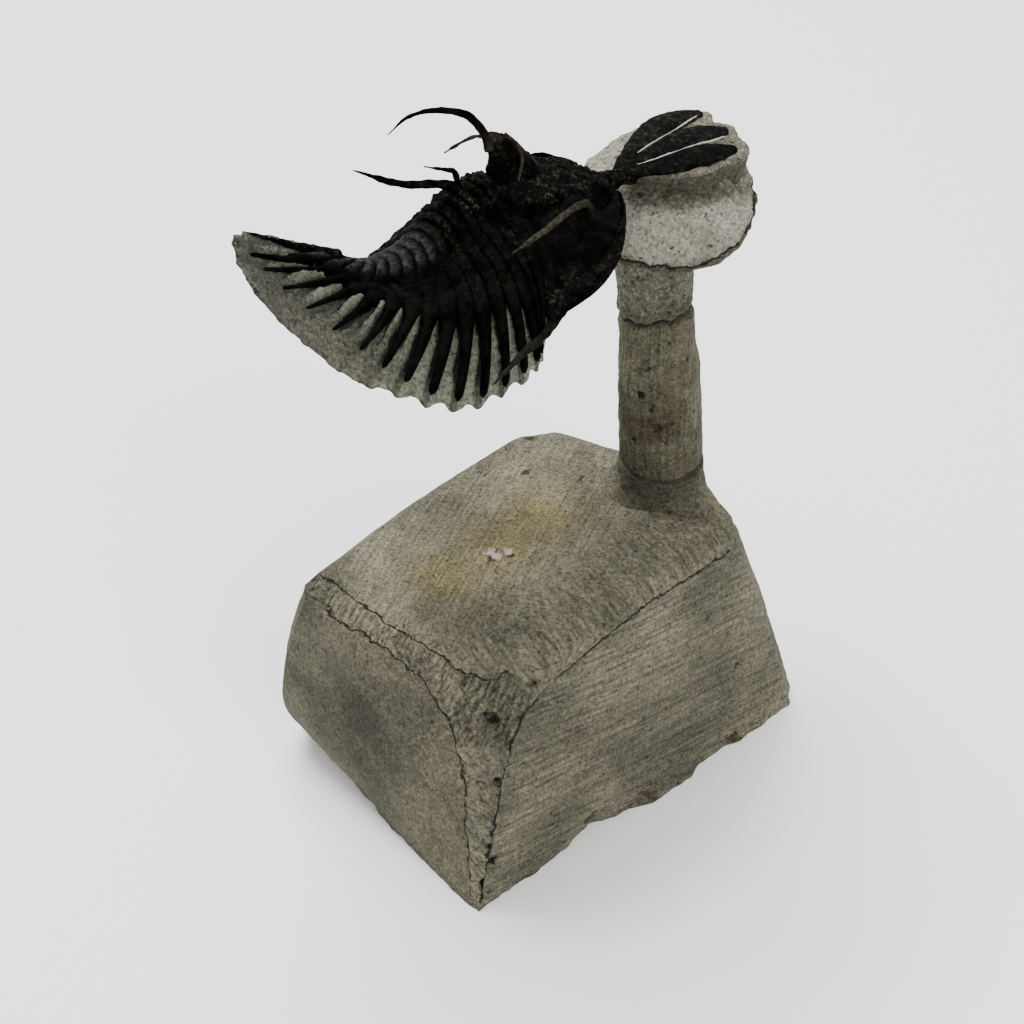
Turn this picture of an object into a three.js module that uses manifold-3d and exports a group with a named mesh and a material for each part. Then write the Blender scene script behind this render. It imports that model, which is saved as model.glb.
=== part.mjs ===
// A spiny trilobite with a three-pronged fork on its head. The rock was cut away from under it, so that it
// hangs in the air by its fork, on a stone column that stands on a ground limestone block.
// Lengths are millimetres and angles degrees. +Z is up, and the origin is on the block's flat underside.
import * as THREE from 'three';
import { mergeVertices } from 'three/addons/utils/BufferGeometryUtils.js';
import Module from 'manifold-3d';

const wasm = await Module();
wasm.setup();

// Driving dimensions of the stand
const GAP = 0.3; // clearance between neighbouring pieces
const BLOCK_TOP = 29.4; // height of the block's rim, its crown is a little higher
const CROWN_RISE = 0.9;
const FOOT = { x: 17.0, y: 5.2 }; // where the column stands on the block
const FLARE_BOTTOM = 22.0; // the flare runs down into the block, to back the column past the block's edge
const FLARE_TOP = 33.8;
const COLUMN_TOP = 55.6;
const COLUMN_RADIUS = 4.7; // at its foot
const COLUMN_LEAN = { x: -0.074, y: -0.012 }; // sideways run for each millimetre of height, the collar's too
const COLUMN_SIDES = 16;
const DISC_CENTRE = { x: 15.95, y: 5.3, z: 69.75 }; // of its rim
const DISC_RADIUS = 9.2;
const DISC_TILT = 0.267; // its rise for each millimetre towards the back
const PAD_TOP = 74.2; // rock under the fork

// Driving dimensions of the fossil
const HEADING = 36; // the animal looks this far round from +X towards +Y
const FORK_ROOT = { x: 11.6, y: 2.5, z: 75 }; // where the three tines part, the zero of the body's plane
const HEAD_HALF_WIDTH = 12.1;
const THORAX_SEGMENTS = 11;
const TAIL_PAIRS = 5; // pairs of tail spines, besides the middle one
const SHELL_THICKNESS = 1.5;
const SHELL_DRAW_IN = 1.1; // the shell's inner side is this much narrower on each side
const SPINE_RADIUS = 0.72; // of a side spine where it leaves the shell
const SPINE_TIP_RADIUS = 0.2;
const SPINE_SINK = 0.35; // of a side spine's middle line below the top of the body
const AXIS_END = 17; // body station of the middle tail spine

// The body is laid out along stations: -1 is the front of the head, 0 the neck, 1 to 11 the rear edges of the
// thoracic segments, and AXIS_END the middle tail spine. Each table pairs a station with a real size.
const CREST_ALONG = [[-1, -3.6], [-0.83, -6.1], [-0.66, -8.6], [-0.45, -11.6], [-0.2, -14.8], [0, -17.4],
  [2, -19.9], [4, -22.0], [6, -23.9], [8, -25.6], [11, -29.2], [13, -31.3], [15, -32.9], [17, -34.0]];
const CREST_HEIGHT = [[-1, 76.0], [-0.83, 78.0], [-0.66, 79.1], [-0.45, 80.1], [-0.2, 81.0], [0, 81.8],
  [2, 81.5], [4, 80.8], [6, 79.3], [8, 77.9], [11, 77.4], [13, 78.0], [15, 78.9], [17, 79.8]];
const PITCH = [[-1, 12], [0, 12], [3, 3], [6, -10], [9, -24], [11, -31], [17, -33]];
const ROLL = [[-1, 6], [0, 13], [17, 13]]; // the whole animal leans over to its left
const HALF_WIDTH = [[0, 12.3], [3.5, 12.7], [5.5, 12.2], [7.5, 10.6], [9.5, 8.7], [11.5, 6.3], [13.5, 3.9],
  [15.5, 1.5], [17, 0]];
const DEPTH = [[-1, 0.3], [-0.8, 1.8], [-0.45, 6.5], [0, 9.8], [1, 11.9], [4.5, 13.6], [6.5, 12.9],
  [8.5, 10.2], [10.5, 7.4], [12.5, 4.2], [14.5, 1.8], [17, 0.4]];
const SWEEP = [[-1, 0], [-0.3, 0.6], [0, 3.4], [0.5, 4.5], [2.5, 2.6], [4.5, 3.1], [6.5, 4.5], [8.5, 6.3],
  [10.5, 7.4], [12.5, 10.3], [14.5, 12.2], [17, 11.6]];
const LEFT_SWEEP = 0.8; // the left side sweeps back by this share of the right side's sweep
const LOBE_HALF_WIDTH = [[-1, 2.0], [-0.7, 4.9], [-0.3, 4.4], [0, 3.9], [6, 3.5], [11, 2.3], [17, 0.6]];
const LOBE_HEIGHT = [[-1, 0.4], [-0.75, 2.0], [-0.3, 2.8], [0, 2.6], [6, 2.4], [11, 1.7], [17, 0.5]];
const SHELL_REACH = [[0, 0.6], [6, 0.62], [11, 0.5], [17, 0.25]]; // share of the side that is unbroken shell

const radians = THREE.MathUtils.degToRad;

// A smooth curve through a table of [station, value] pairs
function along(table, station) {
  let i = 0;
  while (i < table.length - 2 && station > table[i + 1][0]) i += 1;
  const slope = (a, b) => (table[b][1] - table[a][1]) / (table[b][0] - table[a][0]);
  const last = table.length - 1;
  const startSlope = slope(Math.max(i - 1, 0), i + 1);
  const endSlope = slope(i, Math.min(i + 2, last));
  const span = table[i + 1][0] - table[i][0];
  const t = Math.min(Math.max((station - table[i][0]) / span, 0), 1);
  const value = (2 * t ** 3 - 3 * t ** 2 + 1) * table[i][1] + (3 * t ** 2 - 2 * t ** 3) * table[i + 1][1];
  return value + span * ((t ** 3 - 2 * t ** 2 + t) * startSlope + (t ** 3 - t ** 2) * endSlope);
}

// A point of the animal's own space in world space: ahead, to its right, and up
function bodyPoint(ahead, right, height) {
  const heading = radians(HEADING);
  return new THREE.Vector3(
    FORK_ROOT.x + ahead * Math.cos(heading) + right * Math.sin(heading),
    FORK_ROOT.y + ahead * Math.sin(heading) - right * Math.cos(heading),
    height,
  );
}

function halfWidthAt(station) {
  if (station >= 0) return along(HALF_WIDTH, station);
  return HEAD_HALF_WIDTH * Math.sqrt(1 - Math.abs(station) ** 2.3);
}

// The top of the body at a station and a share of the way from the crest (0) to a spine's tip (1, or -1 on
// the left): out by half a width, down by a depth, and back by a sweep, each with its own easing
function shellPoint(station, share, sink = 0, drawIn = 0) {
  const reach = Math.abs(share);
  const width = Math.max(halfWidthAt(station) - drawIn, 0);
  const out = width * (1 - (1 - reach / 1.3) ** 1.8) / (1 - (0.3 / 1.3) ** 1.8);
  const lobeHeight = along(LOBE_HEIGHT, station);
  const lobeShare = Math.min(out / along(LOBE_HALF_WIDTH, station), 1);
  const lobeDrop = lobeHeight * (1 - Math.sqrt(1 - lobeShare ** 2));
  const down = lobeDrop + (along(DEPTH, station) - lobeHeight) * reach ** 2.2 + sink;
  const easing = THREE.MathUtils.clamp(THREE.MathUtils.mapLinear(station, 5, AXIS_END, 2.4, 1), 1, 2.4);
  const sideSweep = share < 0 ? LEFT_SWEEP : 1;
  const back = sideSweep * along(SWEEP, station) * reach ** easing;
  return placed(station, Math.sign(share) * out, down, back);
}

// A point out to the right, down and back from the crest, after the station's roll and pitch
function placed(station, out, down, back) {
  const roll = radians(along(ROLL, station));
  const pitch = radians(along(PITCH, station));
  const right = out * Math.cos(roll) + down * Math.sin(roll);
  const below = down * Math.cos(roll) - out * Math.sin(roll);
  const ahead = along(CREST_ALONG, station) - back * Math.cos(pitch) + below * Math.sin(pitch);
  const height = along(CREST_HEIGHT, station) - back * Math.sin(pitch) - below * Math.cos(pitch);
  return bodyPoint(ahead, right, height);
}

// Raised forms on the shell: rings along the body, the eyes, and the groove behind the head
function relief(station, share) {
  const reach = Math.abs(share);
  if (station > 0) {
    const ring = Math.abs(Math.sin(Math.PI * station));
    const fade = station > THORAX_SEGMENTS ? 0.5 : 1;
    return 0.45 * fade * (ring - 0.5) * (1 - 0.5 * reach);
  }
  const eye = Math.exp(-(((station + 0.42) / 0.2) ** 2) - ((reach - 0.36) / 0.12) ** 2);
  const neckGroove = Math.exp(-(((station + 0.14) / 0.06) ** 2)) * (reach < 0.3 ? 1 : 0);
  return 2.3 * eye - 0.5 * neckGroove;
}

// A closed solid from a grid of rings, each ring the same number of points round one cross-section
function solidFromRings(rings) {
  const count = rings[0].length;
  const positions = rings.flat().flatMap((p) => [p.x, p.y, p.z]);
  const indices = [];
  for (let r = 0; r + 1 < rings.length; r += 1) {
    for (let c = 0; c < count; c += 1) {
      const a = r * count + c;
      const b = r * count + ((c + 1) % count);
      indices.push(a, b, b + count, a, b + count, a + count);
    }
  }
  const capPoint = (ring) => ring.reduce((sum, p) => sum.add(p), new THREE.Vector3()).divideScalar(count);
  const ends = [[rings[0], 0, true], [rings.at(-1), (rings.length - 1) * count, false]];
  for (const [ring, start, flip] of ends) {
    const middle = capPoint(ring);
    const centre = positions.length / 3;
    positions.push(middle.x, middle.y, middle.z);
    for (let c = 0; c < count; c += 1) {
      const a = start + c;
      const b = start + ((c + 1) % count);
      if (flip) indices.push(centre, b, a);
      else indices.push(centre, a, b);
    }
  }
  const geometry = new THREE.BufferGeometry();
  geometry.setAttribute('position', new THREE.Float32BufferAttribute(positions, 3));
  geometry.setIndex(indices);
  return solidOf(geometry);
}

// A manifold solid of a closed geometry, turned right side out
function solidOf(geometry) {
  geometry.deleteAttribute('normal');
  geometry.deleteAttribute('uv');
  const merged = mergeVertices(geometry, 1e-4);
  const vertices = merged.attributes.position.array;
  const triangles = [];
  const index = merged.index.array;
  let volume = 0;
  const corner = [new THREE.Vector3(), new THREE.Vector3(), new THREE.Vector3()];
  for (let i = 0; i < index.length; i += 3) {
    const [a, b, c] = [index[i], index[i + 1], index[i + 2]];
    if (a === b || b === c || c === a) continue;
    triangles.push(a, b, c);
    [a, b, c].forEach((v, k) => corner[k].fromArray(vertices, 3 * v));
    volume += corner[0].dot(corner[1].clone().cross(corner[2]));
  }
  if (volume < 0) triangles.reverse();
  return new wasm.Manifold(new wasm.Mesh({
    numProp: 3,
    vertProperties: new Float32Array(vertices),
    triVerts: new Uint32Array(triangles),
  }));
}

function meshOf(name, solid, colour, roughness) {
  const result = solid.getMesh();
  const geometry = new THREE.BufferGeometry();
  geometry.setAttribute('position', new THREE.BufferAttribute(new Float32Array(result.vertProperties), 3));
  geometry.setIndex(new THREE.BufferAttribute(new Uint32Array(result.triVerts), 1));
  geometry.computeVertexNormals();
  const material = new THREE.MeshStandardMaterial({ color: colour, roughness, metalness: 0 });
  const mesh = new THREE.Mesh(geometry, material);
  mesh.name = name;
  return mesh;
}

// A radius that narrows from a root to a tip, slowly at first
const taper = (root, tip) => (t) => THREE.MathUtils.lerp(root, tip, t ** 1.3);

// A tube on a smooth curve, with a radius for each share of its length. Its height is its width times `flat`
function spine(points, radiusAt, sides = 5, steps = 5, flat = 1) {
  const curve = new THREE.CatmullRomCurve3(points);
  const rings = [];
  for (let s = 0; s <= steps; s += 1) {
    const t = s / steps;
    const centre = curve.getPointAt(t);
    const tangent = curve.getTangentAt(t);
    const side = new THREE.Vector3().crossVectors(tangent, new THREE.Vector3(0, 0, 1)).normalize();
    const up = new THREE.Vector3().crossVectors(side, tangent);
    const radius = radiusAt(t);
    rings.push(Array.from({ length: sides }, (_, k) => {
      const angle = (2 * Math.PI * k) / sides;
      return centre.clone()
        .addScaledVector(side, radius * Math.cos(angle))
        .addScaledVector(up, radius * flat * Math.sin(angle));
    }));
  }
  return solidFromRings(rings);
}

function joined(solids) {
  return solids.reduce((sum, solid) => sum.add(solid));
}

const shares = (count, limit) => Array.from({ length: count + 1 }, (_, i) => limit * ((2 * i) / count - 1));

// The unbroken shell: top rows across the body, closed below by the same rows sunk and drawn in
function shell(clearance) {
  const headRows = [-1, -0.98, -0.92, -0.82, -0.7, -0.56, -0.42, -0.28, -0.15, -0.05];
  const thoraxRows = Array.from({ length: 2 * THORAX_SEGMENTS }, (_, i) => 0.15 + i / 2);
  const tailRows = [11.15, 12, 13, 14, 15, 16, AXIS_END];
  const rings = [...headRows, ...thoraxRows, ...tailRows].map((station) => {
    const limit = station < 0 ? 1 : along(SHELL_REACH, station);
    const across = shares(14, limit);
    const top = across.map((share) => (
      shellPoint(station, share, -relief(station, share) - clearance, -clearance)));
    const bottom = across.slice(1, -1).filter((_, i) => i % 2 === 1).reverse().map((share) => {
      const thickness = SHELL_THICKNESS * (1 - 0.5 * (share / limit) ** 2) + clearance;
      return shellPoint(station, share, thickness, SHELL_DRAW_IN - clearance);
    });
    return [...top, ...bottom];
  });
  return solidFromRings(rings);
}

// The side spines of the thorax and tail, one pair to a segment, and the middle tail spine
function sideSpines(clearance) {
  const stations = [];
  for (let i = 0; i < THORAX_SEGMENTS + TAIL_PAIRS; i += 1) stations.push(i + 0.5);
  const spines = [];
  for (const station of stations) {
    for (const side of [1, -1]) {
      const start = along(SHELL_REACH, station) - 0.12;
      const points = [0, 0.35, 0.7, 1].map((t) => (
        shellPoint(station, side * THREE.MathUtils.lerp(start, 1, t), SPINE_SINK)));
      const root = SPINE_RADIUS * (station > THORAX_SEGMENTS ? 0.8 : 1);
      spines.push(spine(points, taper(root + clearance, SPINE_TIP_RADIUS + clearance), 5, 4));
    }
  }
  const middle = [0.05, 0.4, 0.7, 1].map((share) => shellPoint(AXIS_END, share, SPINE_SINK));
  spines.push(spine(middle, taper(SPINE_RADIUS + clearance, SPINE_TIP_RADIUS + clearance), 5, 4));
  return joined(spines);
}

// Horns and long spines, each a route of [ahead, right, height] with its root radius
const MAIN_HORN = { root: 0.55, route: [[-17.2, 0, 85.6], [-18.9, -0.8, 88.7], [-21.9, -1.4, 90.1],
  [-24.6, -2.0, 90.1], [-26.7, -2.5, 88.6]] };
const SHORT_HORN = { root: 0.32, route: [[-16.8, -0.2, 85.8], [-18.0, -1.6, 85.4], [-20.0, -3.2, 83.6]] };
const THIN_HORN = { root: 0.28, route: [[-16.4, 0.3, 85.6], [-15.4, 1.8, 84.2], [-15.8, 2.7, 82.0]] };
const REAR_SPINE = { root: 0.62, route: [[-20.2, 0, 81.4], [-22.5, 0, 83.0], [-27.1, 0, 84.9],
  [-32.1, 0, 88.5]] };
const THORN = { root: 0.4, route: [[-20.5, 0, 81.8], [-21.2, 0, 84.0], [-24.4, 0, 85.7]] };

function horn({ root, route }, clearance) {
  const points = route.map(([ahead, right, height]) => bodyPoint(ahead, right, height));
  return spine(points, taper(root + clearance, SPINE_TIP_RADIUS + clearance));
}

// Spines of both sides, each a route of [out, down, back] from the crest at its own station. The left eye's
// spine is broken off near its root
const EYE_SPINE = { station: -0.3, root: 0.5, tip: SPINE_TIP_RADIUS,
  route: [[6.5, 5.2, -2.2], [6.9, 3.0, -2.6], [7.7, 1.7, -1.0], [8.8, 1.2, 3.0], [10.2, 0.4, 7.9]] };
const EYE_STUB = { station: -0.3, root: 0.5, tip: 0.36,
  route: [[6.5, 5.2, -2.2], [6.9, 3.0, -2.6], [7.3, 2.2, -2.0]] };
const CHEEK_SPINE = { station: 0, root: 0.75, tip: SPINE_TIP_RADIUS,
  route: [[10.6, 9.6, 1.2], [12.4, 10.1, 4.8], [13.5, 9.9, 8.6], [14.7, 10.1, 12.9]] };

function pairedSpine({ station, root, tip, route }, side, clearance) {
  const points = route.map(([out, down, back]) => placed(station, side * out, down, back));
  return spine(points, taper(root + clearance, tip + clearance));
}

// The triangular crest behind the head, from which the horns grow: ovals stacked in height, each with its
// front and rear end and its half thickness
const CREST_LEVELS = [[80.4, -12.8, -18.6, 1.7], [82.6, -14.2, -17.8, 1.2], [84.6, -15.4, -17.5, 0.9],
  [86.2, -16.2, -17.3, 0.5]];
const CREST_SIDES = 8;

function neckCrest(clearance) {
  const rings = CREST_LEVELS.map(([height, front, rear, half]) => {
    const middle = (front + rear) / 2;
    const reach = (front - rear) / 2 + clearance;
    return Array.from({ length: CREST_SIDES }, (_, k) => {
      const angle = (2 * Math.PI * k) / CREST_SIDES;
      return bodyPoint(middle + reach * Math.cos(angle), (half + clearance) * Math.sin(angle), height);
    });
  });
  return solidFromRings(rings);
}

// The fork: a flattened stem and three flat tines that part from it, broad in their middles like petals. The
// tines' routes are in world plan
const FORK_LEVEL = FORK_ROOT.z - 0.55;
const STEM = [[-6.2, 0, 76.6], [-3.0, 0, 75.2], [0.6, 0, FORK_LEVEL]];
const STEM_RADIUS = 1.15;
const TINES = [
  [[10.3, 1.7], [11.7, 5.2], [13.7, 9.2], [15.2, 11.3], [17.5, 12.8], [19.9, 13.8]],
  [[10.5, 1.9], [13.2, 5.1], [15.9, 7.6], [18.4, 9.3], [20.8, 10.3], [22.3, 10.7]],
  [[10.5, 1.7], [13.2, 3.6], [16.2, 4.6], [18.9, 5.9], [21.3, 6.9], [23.0, 7.4]],
];
const TINE_SIDES = 6;
const TINE_HALF_WIDTH = [[0, 0.7], [0.25, 1.05], [0.5, 1.4], [0.8, 1.4], [1, 0.6]]; // by share of the length

function fork(clearance) {
  const stemPoints = STEM.map(([ahead, right, height]) => bodyPoint(ahead, right, height));
  const stem = spine(stemPoints, () => STEM_RADIUS + clearance, TINE_SIDES, 4, 0.75);
  const tines = TINES.map((route) => {
    const points = route.map(([x, y]) => new THREE.Vector3(x, y, FORK_LEVEL));
    return spine(points, (t) => along(TINE_HALF_WIDTH, t) + clearance, TINE_SIDES, 6, 0.42);
  });
  return joined([stem, ...tines]);
}

function trilobiteSolid(clearance) {
  return joined([
    shell(clearance),
    sideSpines(clearance),
    neckCrest(clearance),
    ...[MAIN_HORN, SHORT_HORN, THIN_HORN, REAR_SPINE, THORN].map((one) => horn(one, clearance)),
    pairedSpine(EYE_SPINE, 1, clearance),
    pairedSpine(EYE_STUB, -1, clearance),
    pairedSpine(CHEEK_SPINE, 1, clearance),
    pairedSpine(CHEEK_SPINE, -1, clearance),
    fork(clearance),
  ]);
}

// The rock under the body: it fills the shell, and stands up between the side spines
const MATRIX_REACH = [[-1, 0.88], [0, 0.93], [0.4, 0.98], [8, 1.0], [11, 1.08], [15, 1.06], [17, 1.03]];
const LEFT_MATRIX_REACH = 0.93; // the left side's reach is this share of the right side's
const MATRIX_THICKNESS = 1.9; // of the slab past the shell
const MATRIX_TAPER = 0.87; // the slab's underside ends this share of the way out
const MATRIX_SINK = 1.45; // of the rock's face below the tops of the side spines
const MATRIX_DRAW_IN = 1.5; // its face is this much narrower on each side, so that the spines lie clear on it
const MATRIX_FILLING = 0.75; // the share of the body's depth that rock fills under its middle

function matrixSolid() {
  const stations = [-0.93, -0.85, -0.7, -0.5, -0.3, -0.1, 0.2];
  for (let i = 1; i <= AXIS_END; i += 1) stations.push(i);
  const rings = stations.map((station) => {
    const limit = along(MATRIX_REACH, station);
    const across = shares(12, limit).map((share) => share * (share < 0 ? LEFT_MATRIX_REACH : 1));
    const top = across.map((share) => shellPoint(station, share, MATRIX_SINK, MATRIX_DRAW_IN));
    const filling = along(DEPTH, station) * MATRIX_FILLING;
    const bottom = across.filter((_, i) => i % 2 === 0).reverse().map((share) => {
      const reach = Math.abs(share) / limit;
      const thickness = MATRIX_THICKNESS * (1 - 0.3 * reach) + filling * (1 - reach ** 2.2);
      return shellPoint(station, share * MATRIX_TAPER, MATRIX_SINK + thickness, MATRIX_DRAW_IN);
    });
    return [...top, ...bottom];
  });
  return solidFromRings(rings).subtract(trilobiteSolid(GAP));
}

// The block: horizontal outlines with five corners, lofted from the underside to the crown
const BLOCK_LEVELS = [
  { z: 0, front: [-4.1, -34.0], right: [35.2, -0.8], behind: [24.4, 15.2], back: [10.6, 27.6],
    left: [-25.2, -5.5], cut: 0.6 },
  { z: 4, front: [-3.7, -33.0], right: [34.2, -1.0], behind: [23.6, 14.3], back: [9.7, 26.0],
    left: [-27.2, -7.4], cut: 0.9 },
  { z: 9, front: [-3.2, -31.7], right: [32.8, -1.1], behind: [22.6, 13.2], back: [8.4, 24.0],
    left: [-28.2, -9.0], cut: 1.4 },
  { z: 16, front: [-2.6, -29.8], right: [30.7, -1.2], behind: [21.3, 11.8], back: [6.6, 21.2],
    left: [-27.5, -9.5], cut: 2.4 },
  { z: 22, front: [-2.0, -28.0], right: [28.7, -1.3], behind: [20.2, 10.6], back: [5.2, 18.8],
    left: [-26.2, -10.0], cut: 4.2 },
  { z: 26, front: [-1.6, -26.9], right: [27.4, -1.3], behind: [19.4, 9.9], back: [4.2, 17.2],
    left: [-25.0, -10.4], cut: 6.2 },
  { z: 28.4, front: [-1.2, -25.7], right: [26.1, -1.3], behind: [18.8, 9.4], back: [3.0, 16.4],
    left: [-23.2, -9.8], cut: 7.4 },
  { z: BLOCK_TOP, front: [-0.8, -22.7], right: [24.4, -1.3], behind: [17.7, 8.6], back: [2.1, 14.9],
    left: [-20.7, -8.7], cut: 6.6 },
];
const CORNER_CUTS = [1.6, 3.0, 2.6, 1.8]; // right, behind, back and left, the front one's is with its level
const FACE_POINTS = 4; // points along each ground face
const FACE_BULGES = [0.7, 0.1, 0, 0.7, 0.7]; // of the faces after front, right, behind, back and left
const CHIP_DEPTH = 0.9;
const CHIP_HEIGHT = 5;

function blockOutline(level) {
  const corners = [level.front, level.right, level.behind, level.back, level.left]
    .map(([x, y]) => new THREE.Vector2(x, y));
  const cuts = [level.cut, ...CORNER_CUTS];
  const outline = [];
  corners.forEach((corner, i) => {
    const next = corners[(i + 1) % corners.length];
    const run = next.clone().sub(corner);
    const direction = run.clone().normalize();
    const outward = new THREE.Vector2(direction.y, -direction.x);
    const start = cuts[i];
    const end = run.length() - cuts[(i + 1) % corners.length];
    for (let k = 0; k < FACE_POINTS; k += 1) {
      const t = k / (FACE_POINTS - 1);
      const bulge = FACE_BULGES[i] * Math.sin(Math.PI * t);
      // The lower edge of the right face is chipped away, most in its middle
      const chip = i === 0 ? CHIP_DEPTH * Math.sin(Math.PI * t) * Math.max(0, 1 - level.z / CHIP_HEIGHT) : 0;
      outline.push(corner.clone()
        .addScaledVector(direction, THREE.MathUtils.lerp(start, end, t))
        .addScaledVector(outward, bulge - chip));
    }
  });
  return outline.map((p) => new THREE.Vector3(p.x, p.y, level.z));
}

function blockSolid() {
  const rings = BLOCK_LEVELS.map(blockOutline);
  const rim = rings.at(-1);
  const middle = rim.reduce((sum, p) => sum.add(p), new THREE.Vector3()).divideScalar(rim.length);
  for (const share of [0.7, 0.35]) {
    const rise = CROWN_RISE * (1 - share ** 2);
    rings.push(rim.map((p) => p.clone().lerp(middle, 1 - share).setZ(BLOCK_TOP + rise)));
  }
  return solidFromRings(rings).add(footFlare());
}

// The flare that ties the column to the block: it spreads to the column's left and front right, and is steep
// in front and behind. Each level has a height and the share of the spread that is left there
const FLARE_LEVELS = [[FLARE_BOTTOM, 0], [28.2, 0], [29.0, 1], [30.2, 0.7], [31.6, 0.2], [FLARE_TOP, 0]];
const FLARE_RADIUS = 4.85;
const FLARE_SPREADS = [{ angle: 190, width: 45, reach: 2.2 }, { angle: 318, width: 30, reach: 2.4 }];

function footFlare() {
  const spreadAt = (angle) => FLARE_SPREADS.reduce((sum, spread) => {
    const off = (THREE.MathUtils.euclideanModulo(angle - spread.angle + 180, 360) - 180) / spread.width;
    return sum + spread.reach * Math.exp(-(off ** 2));
  }, 0);
  const rings = FLARE_LEVELS.map(([z, share]) => Array.from({ length: COLUMN_SIDES }, (_, k) => {
    const angle = (360 * k) / COLUMN_SIDES;
    const radius = FLARE_RADIUS + share * spreadAt(angle);
    return new THREE.Vector3(
      FOOT.x + radius * Math.cos(radians(angle)),
      FOOT.y + radius * Math.sin(radians(angle)),
      z,
    );
  }));
  return solidFromRings(rings);
}

// The column, a little thicker at its foot and leaning a little to the left
const COLUMN_SWELL = [[0, 1.0], [0.2, 1.0], [0.4, 1.0], [0.64, 0.945], [0.85, 0.88], [1, 0.86]];

function postCentre(z) {
  const rise = z - FLARE_TOP;
  return { x: FOOT.x + COLUMN_LEAN.x * rise, y: FOOT.y + COLUMN_LEAN.y * rise };
}

function columnSolid() {
  const bottom = FLARE_TOP + GAP;
  const rings = COLUMN_SWELL.map(([t, scale]) => Array.from({ length: COLUMN_SIDES }, (_, k) => {
    const angle = (2 * Math.PI * k) / COLUMN_SIDES;
    const radius = COLUMN_RADIUS * scale * (1 + 0.02 * Math.sin(3 * angle + 4 * t));
    const z = THREE.MathUtils.lerp(bottom, COLUMN_TOP, t);
    const centre = postCentre(z);
    return new THREE.Vector3(centre.x + radius * Math.cos(angle), centre.y + radius * Math.sin(angle), z);
  }));
  return solidFromRings(rings);
}

// The collar and the tilted disc on the column, with the pad of rock that carries the fork. Each ring has its
// height and radius, and how far it is the disc's (1) rather than the post's (0): in its centre and its tilt
const HEAD_SIDES = 16;
const HEAD_RINGS = [[COLUMN_TOP + GAP, 4.0, 0], [60.5, 4.2, 0], [64.4, 4.3, 0], [66.8, 5.8, 0.5],
  [68.7, 8.3, 1], [DISC_CENTRE.z, DISC_RADIUS, 1], [70.5, 8.6, 1], [71.3, 6.6, 1], [72.1, 3.6, 1]];
const PAD_CENTRE = { x: 17.8, y: 8.4 };
const PAD_OUTLINE = [[12.4, 3.9], [14.4, 3.3], [17.3, 3.2], [19.9, 4.0], [21.8, 5.1], [23.6, 5.9],
  [24.3, 7.4], [24.1, 8.9], [23.4, 10.2], [23.0, 11.8], [21.7, 12.4], [21.0, 12.7], [20.6, 14.4], [17.7, 13.7],
  [15.0, 12.9], [13.3, 11.2], [12.0, 8.5], [11.4, 6.0]];
const PAD_LEVELS = [[69.8, 0.93], [72.4, 0.95], [PAD_TOP, 1]]; // heights, and shares of the outline

function columnHeadSolid() {
  const rings = HEAD_RINGS.map(([z, radius, share]) => Array.from({ length: HEAD_SIDES }, (_, k) => {
    const angle = (2 * Math.PI * k) / HEAD_SIDES;
    const spread = radius * (1 + 0.012 * Math.sin(5 * angle));
    const post = postCentre(z);
    return new THREE.Vector3(
      THREE.MathUtils.lerp(post.x, DISC_CENTRE.x, share) + spread * Math.cos(angle),
      THREE.MathUtils.lerp(post.y, DISC_CENTRE.y, share) + spread * Math.sin(angle),
      z + share * DISC_TILT * spread * Math.sin(angle),
    );
  }));
  const padRings = PAD_LEVELS.map(([z, scale]) => PAD_OUTLINE.map(([x, y]) => new THREE.Vector3(
    THREE.MathUtils.lerp(PAD_CENTRE.x, x, scale),
    THREE.MathUtils.lerp(PAD_CENTRE.y, y, scale),
    z,
  )));
  return solidFromRings(rings).add(solidFromRings(padRings)).subtract(fork(GAP));
}

const model = new THREE.Group();
model.add(
  meshOf('base_block', blockSolid(), 0x8c8a7d, 0.9),
  meshOf('column', columnSolid(), 0x8f8c80, 0.9),
  meshOf('column_head', columnHeadSolid(), 0xa6a59d, 0.9),
  meshOf('body_matrix', matrixSolid(), 0x8f8d80, 0.9),
  meshOf('trilobite', trilobiteSolid(0), 0x1d1c1b, 0.45),
);

export default model;
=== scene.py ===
# %% [markdown]
# # A spiny fossil trilobite on its stone stand
# The animal was freed from its rock by sandblasting, and hangs in the air by the three-pronged fork on its
# head. The frame holds five solids: block, column, column head, the rock under the body, and the fossil
# shell. Each one is stood for here by a finer surface that keeps its place and size. All new shapes are in
# millimetres, and become metres only when a mesh is made.

import bpy
import numpy as np
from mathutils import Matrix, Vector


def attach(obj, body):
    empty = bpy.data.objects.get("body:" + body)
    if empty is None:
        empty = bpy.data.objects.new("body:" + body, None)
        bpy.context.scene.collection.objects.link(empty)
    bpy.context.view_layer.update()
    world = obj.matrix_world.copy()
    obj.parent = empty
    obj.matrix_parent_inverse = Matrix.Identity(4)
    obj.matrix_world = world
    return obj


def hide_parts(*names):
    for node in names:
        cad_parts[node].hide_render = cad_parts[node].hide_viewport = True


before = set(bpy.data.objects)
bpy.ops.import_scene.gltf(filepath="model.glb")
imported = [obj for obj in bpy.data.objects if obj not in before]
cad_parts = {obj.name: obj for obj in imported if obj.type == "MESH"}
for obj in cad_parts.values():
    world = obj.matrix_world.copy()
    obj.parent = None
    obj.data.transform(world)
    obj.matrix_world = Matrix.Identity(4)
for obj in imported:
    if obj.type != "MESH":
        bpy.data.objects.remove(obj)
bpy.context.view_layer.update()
MM = 0.001

# %% [markdown]
# ## Random but repeatable roughness
# Broken stone and old shell are never smooth. A displacement texture could roughen them at render time, but
# a visible shape should be in the mesh, so the roughness is a function of place that moves the points
# themselves.

# %% Noise
LATTICE = np.random.default_rng(11).random((48, 48, 48)) * 2 - 1
JITTER = np.random.default_rng(12).random((48, 48, 48, 3))


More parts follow.
